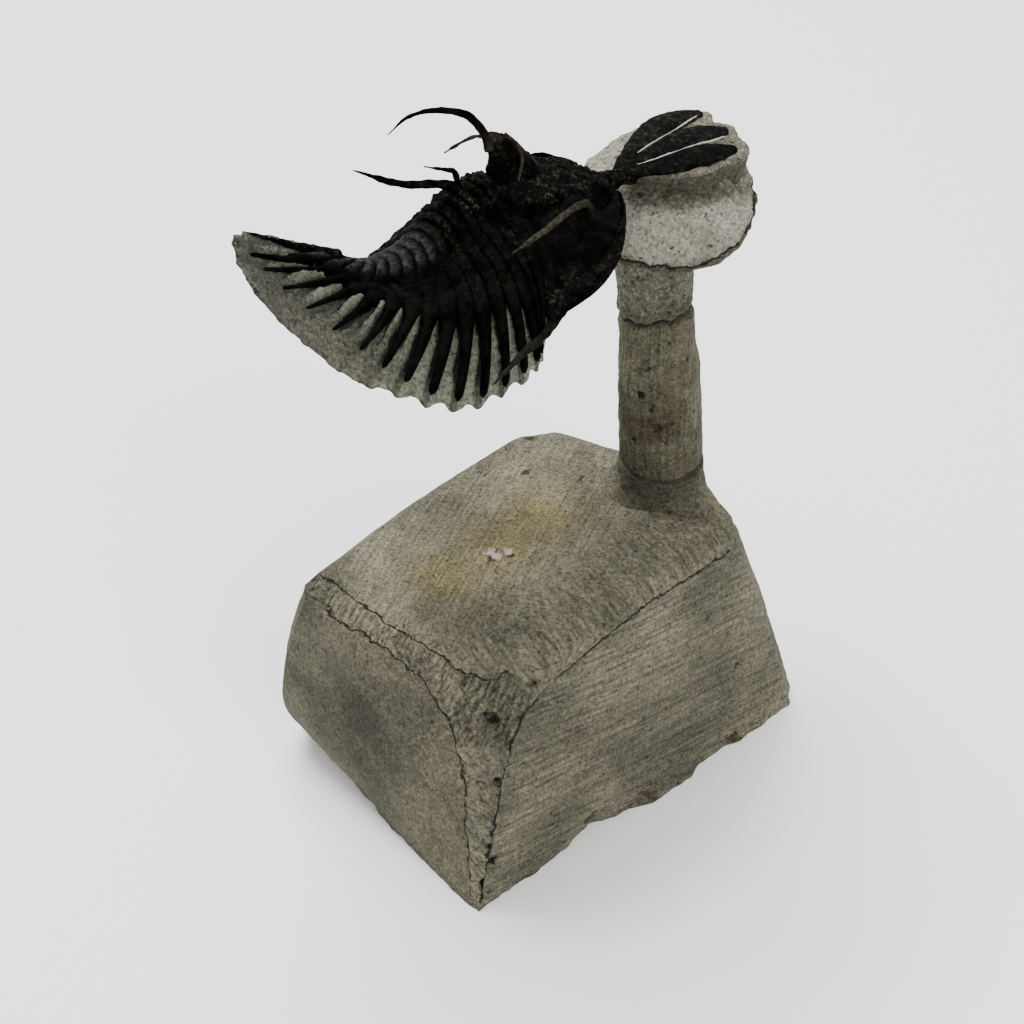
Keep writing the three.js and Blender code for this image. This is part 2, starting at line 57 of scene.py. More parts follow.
def noise(points, size, shift=0.0):
    """Soft random heights from -1 to 1: random numbers on a lattice with cells of `size` mm, eased between
    the eight corners round each point."""
    place = np.asarray(points) / size + shift
    cell = np.floor(place).astype(int)
    ease = place - cell
    ease = ease * ease * (3 - 2 * ease)
    total = 0.0
    for corner in np.ndindex(2, 2, 2):
        index = (cell + corner) % len(LATTICE)
        weight = np.prod(np.where(corner, ease, 1 - ease), axis=-1)
        total = total + weight * LATTICE[index[..., 0], index[..., 1], index[..., 2]]
    return total


def rough(points, size, layers=3, shift=0.0):
    """Noise at `size`, plus half as much at half the size, and so on for each layer."""
    return sum(noise(points, size / 2**k, shift + 7.3 * k) / 2**k for k in range(layers))


def knobs(points, spacing, radius, shift=0.0):
    """Round knobs: one random centre in each cube of `spacing` mm, and round it a height of 1 -
    (distance/radius)^2, never under 0."""
    place = np.asarray(points) / spacing + shift
    cell = np.floor(place).astype(int)
    height = np.zeros(place.shape[:-1])
    for corner in np.ndindex(3, 3, 3):
        other = cell + corner - 1
        index = other % len(JITTER)
        centre = other + JITTER[index[..., 0], index[..., 1], index[..., 2]]
        distance = np.linalg.norm(place - centre, axis=-1) * spacing
        height = np.maximum(height, 1 - (distance / radius) ** 2)
    return height


def smooth(low, high, value):
    """0 below `low`, 1 above `high`, and an S-curve between."""
    t = np.clip((value - low) / (high - low), 0, 1)
    return t * t * (3 - 2 * t)


def bell(distance, width):
    """1 where the distance is 0, and falling off to both sides: e to the power of -(distance / width)^2."""
    return np.exp(-((distance / width) ** 2))


def spot(points, centre, radius):
    """A bell round a centre."""
    return bell(np.linalg.norm(points - np.array(centre), axis=-1), radius)


def spots(points, places):
    """The strongest of several spots at each point."""
    return np.max([spot(points, place[:3], place[3]) for place in places], axis=0)


print("a knob's height lies between", knobs(np.zeros((1, 3)), 1, 0.6).min(), "and 1")

# %% [markdown]
# ## From rings to a closed mesh
# Every piece here is a stack of rings: cross-sections of a spine, outlines of the block, hoops of the
# column. The whole stack is one array of rows by points by x, y, z. Neighbouring rings are joined by pairs
# of triangles, and each end is closed round its middle point, so no edge is left open.

# %% Rings to meshes


def xyz(x, y, z):
    """Points from their three coordinates, which may have different shapes."""
    return np.stack(np.broadcast_arrays(x, y, z), -1)


def full_turn(count):
    """Angles spread evenly round a circle."""
    return np.linspace(0, 2 * np.pi, count, endpoint=False)


def unit(vectors):
    """Vectors of length 1."""
    return vectors / (np.linalg.norm(vectors, axis=-1, keepdims=True) + 1e-9)


def closed(rings, **masks):
    """A closed body from its rings, with named masks of one value for each ring point. Its triangles are
    turned round if its signed volume is negative, so that they face outwards."""
    rows, around = rings.shape[:2]
    points = np.concatenate([rings.reshape(-1, 3), rings[[0, -1]].mean(1)])
    index = np.arange(rows * around).reshape(rows, around)
    ahead = np.roll(index, -1, 1)
    triangles = [np.stack([index[:-1], ahead[:-1], ahead[1:]], -1),
                 np.stack([index[:-1], ahead[1:], index[1:]], -1)]
    for row, centre, order in ((0, rows * around, [0, 2, 1]), (-1, rows * around + 1, [0, 1, 2])):
        middle = np.full(around, centre)
        triangles.append(np.stack([middle, index[row], ahead[row]], -1)[:, order])
    triangles = np.concatenate([t.reshape(-1, 3) for t in triangles])
    a, b, c = (points[triangles[:, k]] for k in range(3))
    if (a * np.cross(b, c)).sum() < 0:
        triangles = triangles[:, ::-1]
    masks = {name: np.concatenate([np.broadcast_to(m, (rows, around)).ravel(), np.zeros(2)])
             for name, m in masks.items()}
    return {"points": points, "triangles": triangles, "masks": masks}


def joined(bodies):
    """Several closed bodies in one, each one's triangles counted on from the last. A mask that a body lacks
    is 0."""
    names = sorted({name for body in bodies for name in body["masks"]})
    starts = np.cumsum([0] + [len(body["points"]) for body in bodies])
    blank = [np.zeros(len(body["points"])) for body in bodies]
    return {
        "points": np.concatenate([body["points"] for body in bodies]),
        "triangles": np.concatenate([body["triangles"] + start for body, start in zip(bodies, starts)]),
        "masks": {name: np.concatenate([body["masks"].get(name, none) for body, none in zip(bodies, blank)])
                  for name in names},
    }


def pushed(rings, height):
    """The rings moved out by `height` along their own normals, the cross product of the surface's two
    slopes."""
    around = np.roll(rings, -1, 1) - np.roll(rings, 1, 1)
    normal = unit(np.cross(around, np.gradient(rings, axis=0)))
    outward = np.sign(((rings - rings.mean((0, 1))) * normal).sum())
    return rings + normal * outward * np.asarray(height)[..., None]


def new_object(name, data):
    """An object that carries the data, in the scene."""
    made = bpy.data.objects.new(name, data)
    bpy.context.collection.objects.link(made)
    return made


def new_piece(name, body, material, node):
    """A smooth-shaded mesh of the body, riding on the root body and standing for a node of the frame."""
    mesh = bpy.data.meshes.new(name)
    triangles = body["triangles"]
    mesh.vertices.add(len(body["points"]))
    mesh.vertices.foreach_set("co", (body["points"] * MM).astype(np.float32).ravel())
    mesh.loops.add(triangles.size)
    mesh.loops.foreach_set("vertex_index", triangles.astype(np.int32).ravel())
    mesh.polygons.add(len(triangles))
    mesh.polygons.foreach_set("loop_start", np.arange(0, triangles.size, 3, dtype=np.int32))
    mesh.update(calc_edges=True)
    mesh.validate()
    mesh.shade_smooth()
    for mask, values in body["masks"].items():
        attribute = mesh.attributes.new(mask, "FLOAT", "POINT")
        attribute.data.foreach_set("value", values.astype(np.float32))
    mesh.materials.append(material)
    piece = new_object(name, mesh)
    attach(piece, "root")
    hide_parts(node)
    print(name, len(triangles), "triangles")
    return piece


# %% [markdown]
# ## Stone and shell finishes
# Limestone looks grey from afar, but close up it is pale grains with dark specks, a slow drift of colour,
# and yellow or brown where iron has stained it. That effect is one node group, so that the block, the
# column, the disc and the rock under the body share it and differ only in their numbers. The pattern reads
# Object coordinates, so it lies in the stone in three dimensions and needs no unwrapping.

# %% Nodes in plain words


def set_socket(tree, socket, value):
    """A socket linked to another one, or set to a value. A colour of three numbers gets an alpha of 1."""
    if isinstance(value, bpy.types.NodeSocket):
        tree.links.new(value, socket)
    else:
        socket.default_value = (*value, 1) if socket.type == "RGBA" else value


def add_node(tree, kind, inputs=(), output=0, **settings):
    """A node of a kind with its settings and inputs. One of its outputs comes back."""
    made = tree.nodes.new("ShaderNode" + kind)
    for name, value in settings.items():
        setattr(made, name, value)
    for name, value in dict(inputs).items():
        set_socket(tree, made.inputs[name], value)
    return made.outputs[output]


def mixed(tree, factor, a, b, blend="MIX"):
    """Two colours mixed by a factor."""
    return add_node(tree, "Mix", {0: factor, 6: a, 7: b}, 2, data_type="RGBA", blend_type=blend)


def times(tree, a, b, clamp=False):
    """a times b, kept within 0 and 1 if `clamp` is set."""
    return add_node(tree, "Math", {0: a, 1: b}, operation="MULTIPLY", use_clamp=clamp)


def plus(tree, a, b, operation="ADD"):
    """a plus b, or another operation on them."""
    return add_node(tree, "Math", {0: a, 1: b}, operation=operation)


def minus(tree, a, b):
    """a minus b."""
    return plus(tree, a, b, "SUBTRACT")


def noise_node(tree, vector, scale, detail, roughness=0.55, distortion=0.0):
    """Blender's own noise, with its scale in cycles for each metre."""
    return add_node(tree, "TexNoise", {"Vector": vector, "Scale": scale, "Detail": detail,
                                       "Roughness": roughness, "Distortion": distortion})


def stepped(tree, value, low, high, to_low=0.0, to_high=1.0, curve="SMOOTHSTEP"):
    """One value below `low`, another above `high`, and an S-curve between. With `low` above `high` it
    falls."""
    return add_node(tree, "MapRange", {"Value": value, "From Min": low, "From Max": high, "To Min": to_low,
                                       "To Max": to_high}, interpolation_type=curve)


def around_one(tree, value, amount):
    """A noise value turned into a factor: one plus the amount times twice its distance from a half."""
    return plus(tree, times(tree, times(tree, minus(tree, value, 0.5), 2.0), amount), 1.0)


def new_group(name, inputs, outputs):
    """A shader group with named sockets of given kinds. Back come the group and what its input node gives."""
    group = bpy.data.node_groups.new(name, "ShaderNodeTree")
    for side, sockets in (("INPUT", inputs), ("OUTPUT", outputs)):
        for socket, kind in sockets.items():
            group.interface.new_socket(socket, in_out=side, socket_type="NodeSocket" + kind)
    return group, group.nodes.new("NodeGroupInput").outputs


def finished(group, **results):
    """The group with its results linked to its output node."""
    out = group.nodes.new("NodeGroupOutput").inputs
    for name, value in results.items():
        group.links.new(value, out[name])
    return group


# %% A node group for stone grain
SPECK_TONE = (0.012, 0.011, 0.009)


def stone_grain_group():
    """Grain, dark specks and slow drift of limestone: a colour and a height that change over the surface."""
    group, into = new_group("stone_grain", {"Vector": "Vector", "Pale": "Color", "Deep": "Color",
                                            "Speck Amount": "Float", "Contrast": "Float"},
                            {"Color": "Color", "Height": "Float"})
    drift = noise_node(group, into["Vector"], 75, 3)
    clouds = noise_node(group, into["Vector"], 420, 4, 0.65, 0.4)
    grain = noise_node(group, into["Vector"], 2700, 4, 0.8)
    specks = noise_node(group, into["Vector"], 1500, 4, 0.7, 0.8)
    body = mixed(group, stepped(group, drift, 0.35, 0.65), into["Pale"], into["Deep"])
    body = mixed(group, times(group, stepped(group, clouds, 0.45, 0.62), 0.6), body, into["Deep"])
    body = mixed(group, 1.0, body, around_one(group, grain, into["Contrast"]), "MULTIPLY")
    body = mixed(group, 1.0, body, around_one(group, clouds, 0.5), "MULTIPLY")
    spotted = times(group, stepped(group, specks, 0.6, 0.68), into["Speck Amount"])
    height = minus(group, plus(group, times(group, grain, 0.8), clouds), times(group, spotted, 0.7))
    return finished(group, Color=mixed(group, spotted, body, SPECK_TONE), Height=height)


# %% Node groups for file marks and cracks
MARKS_ALONG = 110
CRACK_BEND = 1.5


def file_marks_group():
    """Marks of a file or a saw: noise drawn out along one direction. Each point's run along the direction is
    counted slowly, and its runs across it quickly."""
    group, into = new_group("file_marks", {"Vector": "Vector", "Along": "Vector", "Fine": "Float"},
                            {"Value": "Float"})
    run = add_node(group, "VectorMath", {0: into["Vector"], 1: into["Along"]}, "Value",
                   operation="DOT_PRODUCT")
    taken = times(group, run, minus(group, into["Fine"], MARKS_ALONG))
    across, away = (add_node(group, "VectorMath", {0: vector, "Scale": factor}, operation="SCALE")
                    for vector, factor in ((into["Vector"], into["Fine"]), (into["Along"], taken)))
    stretched = add_node(group, "VectorMath", {0: across, 1: away}, operation="SUBTRACT")
    return finished(group, Value=noise_node(group, stretched, 1.0, 2, 0.5))


def broken_line_group():
    """A crack along the line where a distance that the mesh carries is nought: noise bends it and changes its
    width, so that it breaks off and starts again."""
    group, into = new_group("broken_line", {"Vector": "Vector", "Distance": "Float", "Width": "Float"},
                            {"Mask": "Float"})
    bend = times(group, minus(group, noise_node(group, into["Vector"], 700, 4, 0.65), 0.5), CRACK_BEND)
    away = plus(group, plus(group, into["Distance"], bend), 0.0, "ABSOLUTE")
    width = times(group, into["Width"],
                  stepped(group, noise_node(group, into["Vector"], 350, 3, 0.6), 0.1, 0.6))
    return finished(group, Mask=stepped(group, away, width, times(group, width, 0.4)))


STONE_GRAIN = stone_grain_group()
FILE_MARKS = file_marks_group()
BROKEN_LINE = broken_line_group()

# %% Stone materials
CRACK_TONE = (0.012, 0.009, 0.006)
CRACK_DEPTH = 1.5
RAGGED = 2.2
SOFT_EDGE = 0.3


def new_material(name):
    """An empty material with its node tree and Principled shader, and the Object coordinates."""
    material = bpy.data.materials.new(name)
    material.use_nodes = True
    tree = material.node_tree
    return material, tree, tree.nodes["Principled BSDF"], add_node(tree, "TexCoord", output="Object")


def mask_of(tree, name):
    """A mask that the mesh carries at its points."""
    return add_node(tree, "Attribute", output="Fac", attribute_name=name)


def finish_shader(tree, shader, roughness, specular, colour, height, strength, distance):
    """The shader's own numbers, its colour, and a bump for what is too fine for the mesh."""
    relief = add_node(tree, "Bump", {"Strength": strength, "Distance": distance, "Height": height})
    for name, value in (("Base Color", colour), ("Roughness", roughness), ("Specular IOR Level", specular),
                        ("Normal", relief)):
        set_socket(tree, shader.inputs[name], value)


def stone_material(name, pale, deep, specks, contrast, bump, marks=(), files=(), lines=()):
    """Stone with its grain and what its mesh carries: marks (a mask, a colour, and how wide its edge is),
    file marks (a mask, their direction, fineness and depth) and cracks (a distance and a width)."""
    material, tree, shader, place = new_material(name)
    colour = add_node(tree, "Group", {"Vector": place, "Pale": pale, "Deep": deep, "Speck Amount": specks,
                                      "Contrast": contrast}, "Color", node_tree=STONE_GRAIN)
    height = colour.node.outputs["Height"]
    ragged = times(tree, minus(tree, noise_node(tree, place, 1300, 5, 0.75, 0.6), 0.5), RAGGED)
    for mask, direction, fine, depth in files:
        value = add_node(tree, "Group", {"Vector": place, "Along": direction, "Fine": fine},
                         node_tree=FILE_MARKS)
        amount = times(tree, mask_of(tree, mask), depth)
        colour = mixed(tree, 1.0, colour, around_one(tree, value, amount), "MULTIPLY")
        height = plus(tree, height, times(tree, value, amount))
    for mask, tone, edge in marks:
        share = stepped(tree, plus(tree, mask_of(tree, mask), ragged), 0.5 - edge, 0.5 + edge)
        colour = mixed(tree, share, colour, tone, "MULTIPLY" if edge > SOFT_EDGE else "MIX")
    for distance, width in lines:
        crack = add_node(tree, "Group", {"Vector": place, "Distance": mask_of(tree, distance),
                                         "Width": width}, node_tree=BROKEN_LINE)
        colour = mixed(tree, crack, colour, CRACK_TONE)
        height = minus(tree, height, times(tree, crack, CRACK_DEPTH))
    finish_shader(tree, shader, 0.85, 0.15, colour, height, bump, 0.00015)
    return material


BLOCK_STONE = stone_material(
    "ground_block_stone", (0.143, 0.136, 0.097), (0.07, 0.067, 0.048), 0.8, 1.9, 0.8,
    marks=[("stain", (1.12, 0.98, 0.66), 0.6), ("dark", (0.5, 0.5, 0.48), 0.5),
           ("rust", (0.035, 0.02, 0.01), 0.2), ("white", (0.27, 0.26, 0.21), 0.1),
           ("pit", (0.009, 0.007, 0.005), 0.1)],
    files=[("right_side", (0.757, 0.629, -0.18), 2600, 0.95), ("shoulder", (0.55, -0.66, -0.5), 2300, 1.05),
           ("bevel", (-0.47, -0.65, -0.6), 2600, 1.7), ("top", (0.37, 0.93, 0.0), 3000, 0.65)],
    lines=[("left_line", 0.13), ("right_line", 0.19), ("bevel_line", 0.13)])
COLUMN_STONE = stone_material(
    "column_stone", (0.098, 0.093, 0.064), (0.05, 0.047, 0.03), 0.9, 1.9, 0.9,
    marks=[("dark", (0.5, 0.46, 0.38), 0.5), ("pit", (0.008, 0.006, 0.004), 0.12)],
    files=[("scraped", (0, 0, 1), 2400, 0.8)])
# On the column head, dark is darker below the disc's rim, and painted shade on the pad's side, under the
# tines and where the pad shades the disc.
PALE_STONE = stone_material(
    "pale_matrix", (0.265, 0.258, 0.205), (0.135, 0.13, 0.1), 1.0, 1.9, 1.0,
    marks=[("dark", (0.3, 0.29, 0.26), 0.5), ("pit", (0.02, 0.017, 0.012), 0.1),
           ("white", (0.4, 0.39, 0.35), 0.1)],
    lines=[("rim_line", 0.2)])
# Under the body, lit is a painted highlight on the ridges and cushions, and dark is painted shade beside the
# spines.
BODY_STONE = stone_material(
    "body_matrix", (0.075, 0.075, 0.056), (0.038, 0.038, 0.028), 1.0, 2.0, 1.0,
    marks=[("lit", (2.1, 2.15, 2.2), 0.4), ("pit", (0.03, 0.012, 0.004), 0.1),
           ("dark", (0.012, 0.012, 0.01), 0.2)])
print("stone materials", len(bpy.data.materials), "with groups",
      [group.name for group in bpy.data.node_groups])


# %% [markdown]
# ## The shell's finish
# The shell is black calcite. Under soft light it is almost a silhouette: what shows is the sparkle of its
# broken grain, grey and green dust in its hollows, and a silky grey sheen on the smooth rings of the rear
# axis. A dark base with a fairly low roughness that changes from place to place gives the sparkle, and masks
# give the rest. The sheen is painted: the sheen mask lays a lighter grey colour on the rear axis and the
# tines.

# %% The shell material
DUST_TONE = (0.05, 0.053, 0.039)
CREST_BROWN = (0.008, 0.004, 0.003)


def shell_material():
    """Black calcite: a dark base, dust on its grain, and brown or a painted sheen where the mesh's masks say
    so.
    """
    material, tree, shader, place = new_material("fossil_shell")
    grain = noise_node(tree, place, 2100, 5, 0.75)
    cloud = noise_node(tree, place, 500, 4, 0.65, 0.5)
    colour = mixed(tree, stepped(tree, cloud, 0.4, 0.65), (0.0003, 0.0003, 0.0004), (0.0025, 0.0025, 0.002))
    dusty = times(tree, stepped(tree, grain, 0.5, 0.66), stepped(tree, cloud, 0.38, 0.62))
    colour = mixed(tree, times(tree, dusty, mask_of(tree, "dust"), clamp=True), colour, DUST_TONE)
    # Painted sheen: where the sheen mask says, the colour turns a lighter grey.
    silky = mixed(tree, stepped(tree, grain, 0.35, 0.65), (0.004, 0.0045, 0.005), (0.04, 0.041, 0.038))
    pale = mixed(tree, stepped(tree, grain, 0.35, 0.62), (0.009, 0.008, 0.005), (0.034, 0.031, 0.022))
    for mask, tone in (("sheen", silky), ("pale", pale), ("red", CREST_BROWN)):
        colour = mixed(tree, mask_of(tree, mask), colour, tone)
    gloss = stepped(tree, cloud, 0.3, 0.7, 0.4, 0.65, "LINEAR")
    finish_shader(tree, shader, gloss, 0.012, colour, grain, 0.7, 0.00012)
    return material


SHELL = shell_material()

# %% [markdown]
# ## How the body is laid out
# The body is drawn along stations: -1 is the front of the head, 0 the neck, 1 to 11 the rear edges of the
# thoracic segments, and 17 the middle tail spine. Across it, a share runs from 0 on the crest to 1 at a
# right spine's tip and -1 at a left one's. The frame's solids use the same tables, so what is built on them
# lies in place.

# %% Tables of the body
HEADING = np.radians(36)
FORK_ROOT = np.array([11.6, 2.5, 75.0])
HEAD_HALF_WIDTH = 12.1
SEGMENTS = 11
TAIL_PAIRS = 5
AXIS_END = 17
LEFT_SWEEP = 0.8
CREST_ALONG = [(-1, -3.6), (-0.83, -6.1), (-0.66, -8.6), (-0.45, -11.6), (-0.2, -14.8), (0, -17.4),
               (2, -19.9), (4, -22.0), (6, -23.9), (8, -25.6), (11, -29.2), (13, -31.3), (15, -32.9),
               (17, -34.0)]
CREST_HEIGHT = [(-1, 76.0), (-0.83, 78.0), (-0.66, 79.1), (-0.45, 80.1), (-0.2, 81.0), (0, 81.8), (2, 81.5),
                (4, 80.8), (6, 79.3), (8, 77.9), (11, 77.4), (13, 78.0), (15, 78.9), (17, 79.8)]
PITCH = [(-1, 12), (0, 12), (3, 3), (6, -10), (9, -24), (11, -31), (17, -33)]
ROLL = [(-1, 6), (0, 13), (17, 13)]
HALF_WIDTH = [(0, 12.3), (3.5, 12.7), (5.5, 12.2), (7.5, 10.6), (9.5, 8.7), (11.5, 6.3), (13.5, 3.9),
              (15.5, 1.5), (17, 0)]
DEPTH = [(-1, 0.3), (-0.8, 1.8), (-0.45, 6.5), (0, 9.8), (1, 11.9), (4.5, 13.6), (6.5, 12.9), (8.5, 10.2),
         (10.5, 7.4), (12.5, 4.2), (14.5, 1.8), (17, 0.4)]
SWEEP = [(-1, 0), (-0.3, 0.6), (0, 3.4), (0.5, 4.5), (2.5, 2.6), (4.5, 3.1), (6.5, 4.5), (8.5, 6.3),
         (10.5, 7.4), (12.5, 10.3), (14.5, 12.2), (17, 11.6)]
LOBE_HALF_WIDTH = [(-1, 2.0), (-0.7, 4.9), (-0.3, 4.4), (0, 3.9), (6, 3.5), (11, 2.3), (17, 0.6)]
LOBE_HEIGHT = [(-1, 0.4), (-0.75, 2.0), (-0.3, 2.8), (0, 2.6), (6, 2.4), (11, 1.7), (17, 0.5)]
SHELL_REACH = [(0, 0.6), (6, 0.62), (11, 0.5), (17, 0.25)]
TAIL_LIFT = 0.8
CURL = 2.2

# %% Points on the body


def along(table, station):
    """A smooth curve through pairs of station and value: on each span a cubic whose end slopes are those of
    the chords over the neighbouring points."""
    x, y = np.array(table, float).T
    last = len(x) - 1
    i = np.clip(np.searchsorted(x, station, side="left") - 1, 0, last - 1)
    before = np.maximum(i - 1, 0)
    after = np.minimum(i + 2, last)
    span = x[i + 1] - x[i]
    start = (y[i + 1] - y[before]) / (x[i + 1] - x[before])
    end = (y[after] - y[i]) / (x[after] - x[i])
    t = np.clip((station - x[i]) / span, 0, 1)
    value = (2 * t**3 - 3 * t**2 + 1) * y[i] + (3 * t**2 - 2 * t**3) * y[i + 1]
    return value + span * ((t**3 - 2 * t**2 + t) * start + (t**3 - t**2) * end)


def body_point(ahead, right, height):
    """The animal's own axes turned by its heading and moved to the fork's root."""
    return xyz(FORK_ROOT[0] + ahead * np.cos(HEADING) + right * np.sin(HEADING),
               FORK_ROOT[1] + ahead * np.sin(HEADING) - right * np.cos(HEADING), height)


def placed(station, out, down, back):
    """A point out to the right, down and back from the crest, turned by the station's roll and pitch."""
    roll, pitch = np.radians(along(ROLL, station)), np.radians(along(PITCH, station))
    right = out * np.cos(roll) + down * np.sin(roll)
    below = down * np.cos(roll) - out * np.sin(roll)
    ahead = along(CREST_ALONG, station) - back * np.cos(pitch) + below * np.sin(pitch)
    height = along(CREST_HEIGHT, station) - back * np.sin(pitch) - below * np.cos(pitch)
    return body_point(ahead, right, height)


def half_width(station):
    """The table behind the neck, and a blunt arch, width times the root of 1 - |station|^2.3, on the head."""
    arch = np.sqrt(np.clip(1 - np.abs(np.clip(station, -1, 0)) ** 2.3, 0, 1))
    return np.where(station >= 0, along(HALF_WIDTH, station), HEAD_HALF_WIDTH * arch)


def out_at(station, share, draw_in=0.0):
    """Distance out from the crest, fast at first and slower towards the tip: 1 - (1 - share / 1.3)^1.8,
    scaled to reach the half width at a share of 1."""
    width = np.maximum(half_width(station) - draw_in, 0)
    arc, power = 1.3, 1.8
    return width * (1 - (1 - np.abs(share) / arc) ** power) / (1 - (1 - 1 / arc) ** power)


def shell_point(station, share, sink=0.0, draw_in=0.0):
    """The top of the body: out as above, down by the axial lobe's round and the depth times share^2.2, and
    back by the sweep times a power of the share that eases from 2.4 in front to 1 at the tail. The tail's
    tips are lifted."""
    station, share = np.broadcast_arrays(np.asarray(station, float), np.asarray(share, float))
    reach = np.abs(share)
    out = out_at(station, share, draw_in)
    lobe = along(LOBE_HEIGHT, station)
    lobe_share = np.minimum(out / along(LOBE_HALF_WIDTH, station), 1)
    down = lobe * (1 - np.sqrt(1 - lobe_share**2)) + (along(DEPTH, station) - lobe) * reach**CURL + sink
    easing = np.clip(2.4 - 1.4 * (station - 5) / (AXIS_END - 5), 1, 2.4)
    back = np.where(share < 0, LEFT_SWEEP, 1) * along(SWEEP, station) * reach**easing
    point = placed(station, np.sign(share) * out, down, back)
    point[..., 2] += TAIL_LIFT * smooth(13, 17, station) * reach
    return point


def skin(station, share):
    """The top of the body and its outward direction, the cross product of its slopes along and across."""
    step, side = 0.03, 0.006
    here = shell_point(station, share)
    lengthwise = shell_point(station + step, share) - shell_point(station - step, share)
    across = shell_point(station, share + side) - shell_point(station, share - side)
    return here, unit(np.cross(lengthwise, across))


print("body length along the crest, mm", round(float(np.linalg.norm(np.diff(
    shell_point(np.linspace(-1, 17, 90), 0), axis=0), axis=1).sum()), 1))

# %% [markdown]
# ## A segment and its two side spines
# Each thoracic segment is one plate: a ring over the axis, a rib out to each side, and a spine at each end.
# It could be cut out of one smooth shell, but the overlap from plate to plate is what catches the light. So
# each segment is a band of its own: a flattened loop carried from the left spine's tip over the crest to the
# right tip, which becomes round where the spines run free. The tail's ribs are made in the same way.

# %% Bands
BAND_STEPS = 131
BAND_AROUND = 18
BAND_HALF_LENGTH = 0.53
BAND_HALF_HEIGHT = 0.6
REAR_OVERLAP = 0.1


def band(centre, limit=1.0):
    """A loop round each share: along the body by cos, out of the skin by sin, both raised to a power so that
    the loop is squarish on the shell and round on the spine. Relief is added to its upper side."""
    share = np.linspace(-limit, limit, BAND_STEPS)[:, None]
    reach = np.abs(share)
    turn = full_turn(BAND_AROUND)[None]
    shell_end = along(SHELL_REACH, centre)
    free = smooth(shell_end - 0.1, shell_end + 0.12, reach)
    run = np.clip((reach - shell_end) / (1 - shell_end), 0, 1)
    rear = smooth(7, 11, centre)
    spacing = np.linalg.norm(shell_point(centre + 0.5, share) - shell_point(centre - 0.5, share), axis=-1)
    front_radius = 0.42 + 0.3 * (1 - run) ** 1.3
    rear_radius = 0.2 + 0.6 * (1 - run) ** 1.3
    radius = front_radius + (rear_radius - front_radius) * rear
    radius = radius * np.sqrt(np.clip((limit - reach) / 0.02, 0.01, 1))
    silky = smooth(5.5, 7.5, centre)
    plate = BAND_HALF_LENGTH + REAR_OVERLAP * silky
    half_length = (1 - free) * plate + free * np.minimum(radius / spacing, BAND_HALF_LENGTH)
    half_height = (1 - free) * BAND_HALF_HEIGHT + free * np.minimum(radius, BAND_HALF_HEIGHT)
    power = 0.5 + 0.5 * free
    lengthwise = np.sign(np.cos(turn)) * np.abs(np.cos(turn)) ** power
    upward = np.sign(np.sin(turn)) * np.abs(np.sin(turn)) ** power
    station = centre + half_length * lengthwise
    place, outward = skin(station, share)
    out = out_at(station, share)
    lobe = along(LOBE_HALF_WIDTH, station)
    axis = 1 - smooth(0.86, 1.02, out / lobe)
    furrow = bell(out / lobe - 1.03, 0.12)
    top = np.clip(upward, 0, 1)
    ridge = bell(lengthwise - 0.35, 0.5) - smooth(0.45, 0.9, -lengthwise)
    ring = 0.3 * axis * (1 - 0.7 * silky) * ridge
    fine_rings = axis * silky * 0.07 * np.sin(13 * lengthwise)
    rib = (1 - axis) * (1 - free) * (0.08 - 0.22 * bell(lengthwise + 0.05, 0.2))
    tubercles = knobs(place, 1.0, 0.5) * (1 - silky * axis) * (0.3 * axis + 0.2 * (1 - axis) * (1 - free))
    crumb = rough(place, 1.3, 4) * (0.3 - 0.26 * silky * axis) * (1 - 0.7 * free)
    relief = ring + fine_rings - 0.4 * furrow * (1 - free) + 0.5 * rib + tubercles + crumb
    lift = half_height * upward + top * relief - (1 - free) * 0.5 - free * 0.3
    rings = place + outward * lift[..., None]
    # The sheen mask is a painted sheen on the upper side of the rear axis rings.
    sheen = silky * axis * top * smooth(-0.5, 0.1, lengthwise) * smooth(1.0, 0.75, out / lobe)
    patches = smooth(-0.8, 0.6, noise(rings, 1.7, 3.9))
    dust = (0.16 + 0.6 * axis * (1 - silky)) * top * (1 - 0.85 * free) * patches
    return closed(rings, sheen=sheen * 0.85, dust=dust)


bands = [band(i + 0.5) for i in range(SEGMENTS + TAIL_PAIRS)]
bands.append(band(AXIS_END - 0.5, 0.4))
print(len(bands), "bands,", sum(len(b["triangles"]) for b in bands), "triangles")


# %% [markdown]
# ## The head
# The head shield is one arched plate. Its middle, the glabella, is a granulated hump. An eye stands on each
# cheek, with rows of lenses on its outer side, a raised rim runs round the margin, and a furrow parts it
# from the neck ring. It is a grid of stations by shares, with the relief added along the skin's own
# direction, and the same rows drawn in below close it.

# %% Head shield
HEAD_ROWS = 130
HEAD_ACROSS = 131
EYE_STATION, EYE_REACH, EYE_RISE = -0.42, 0.36, 2.3


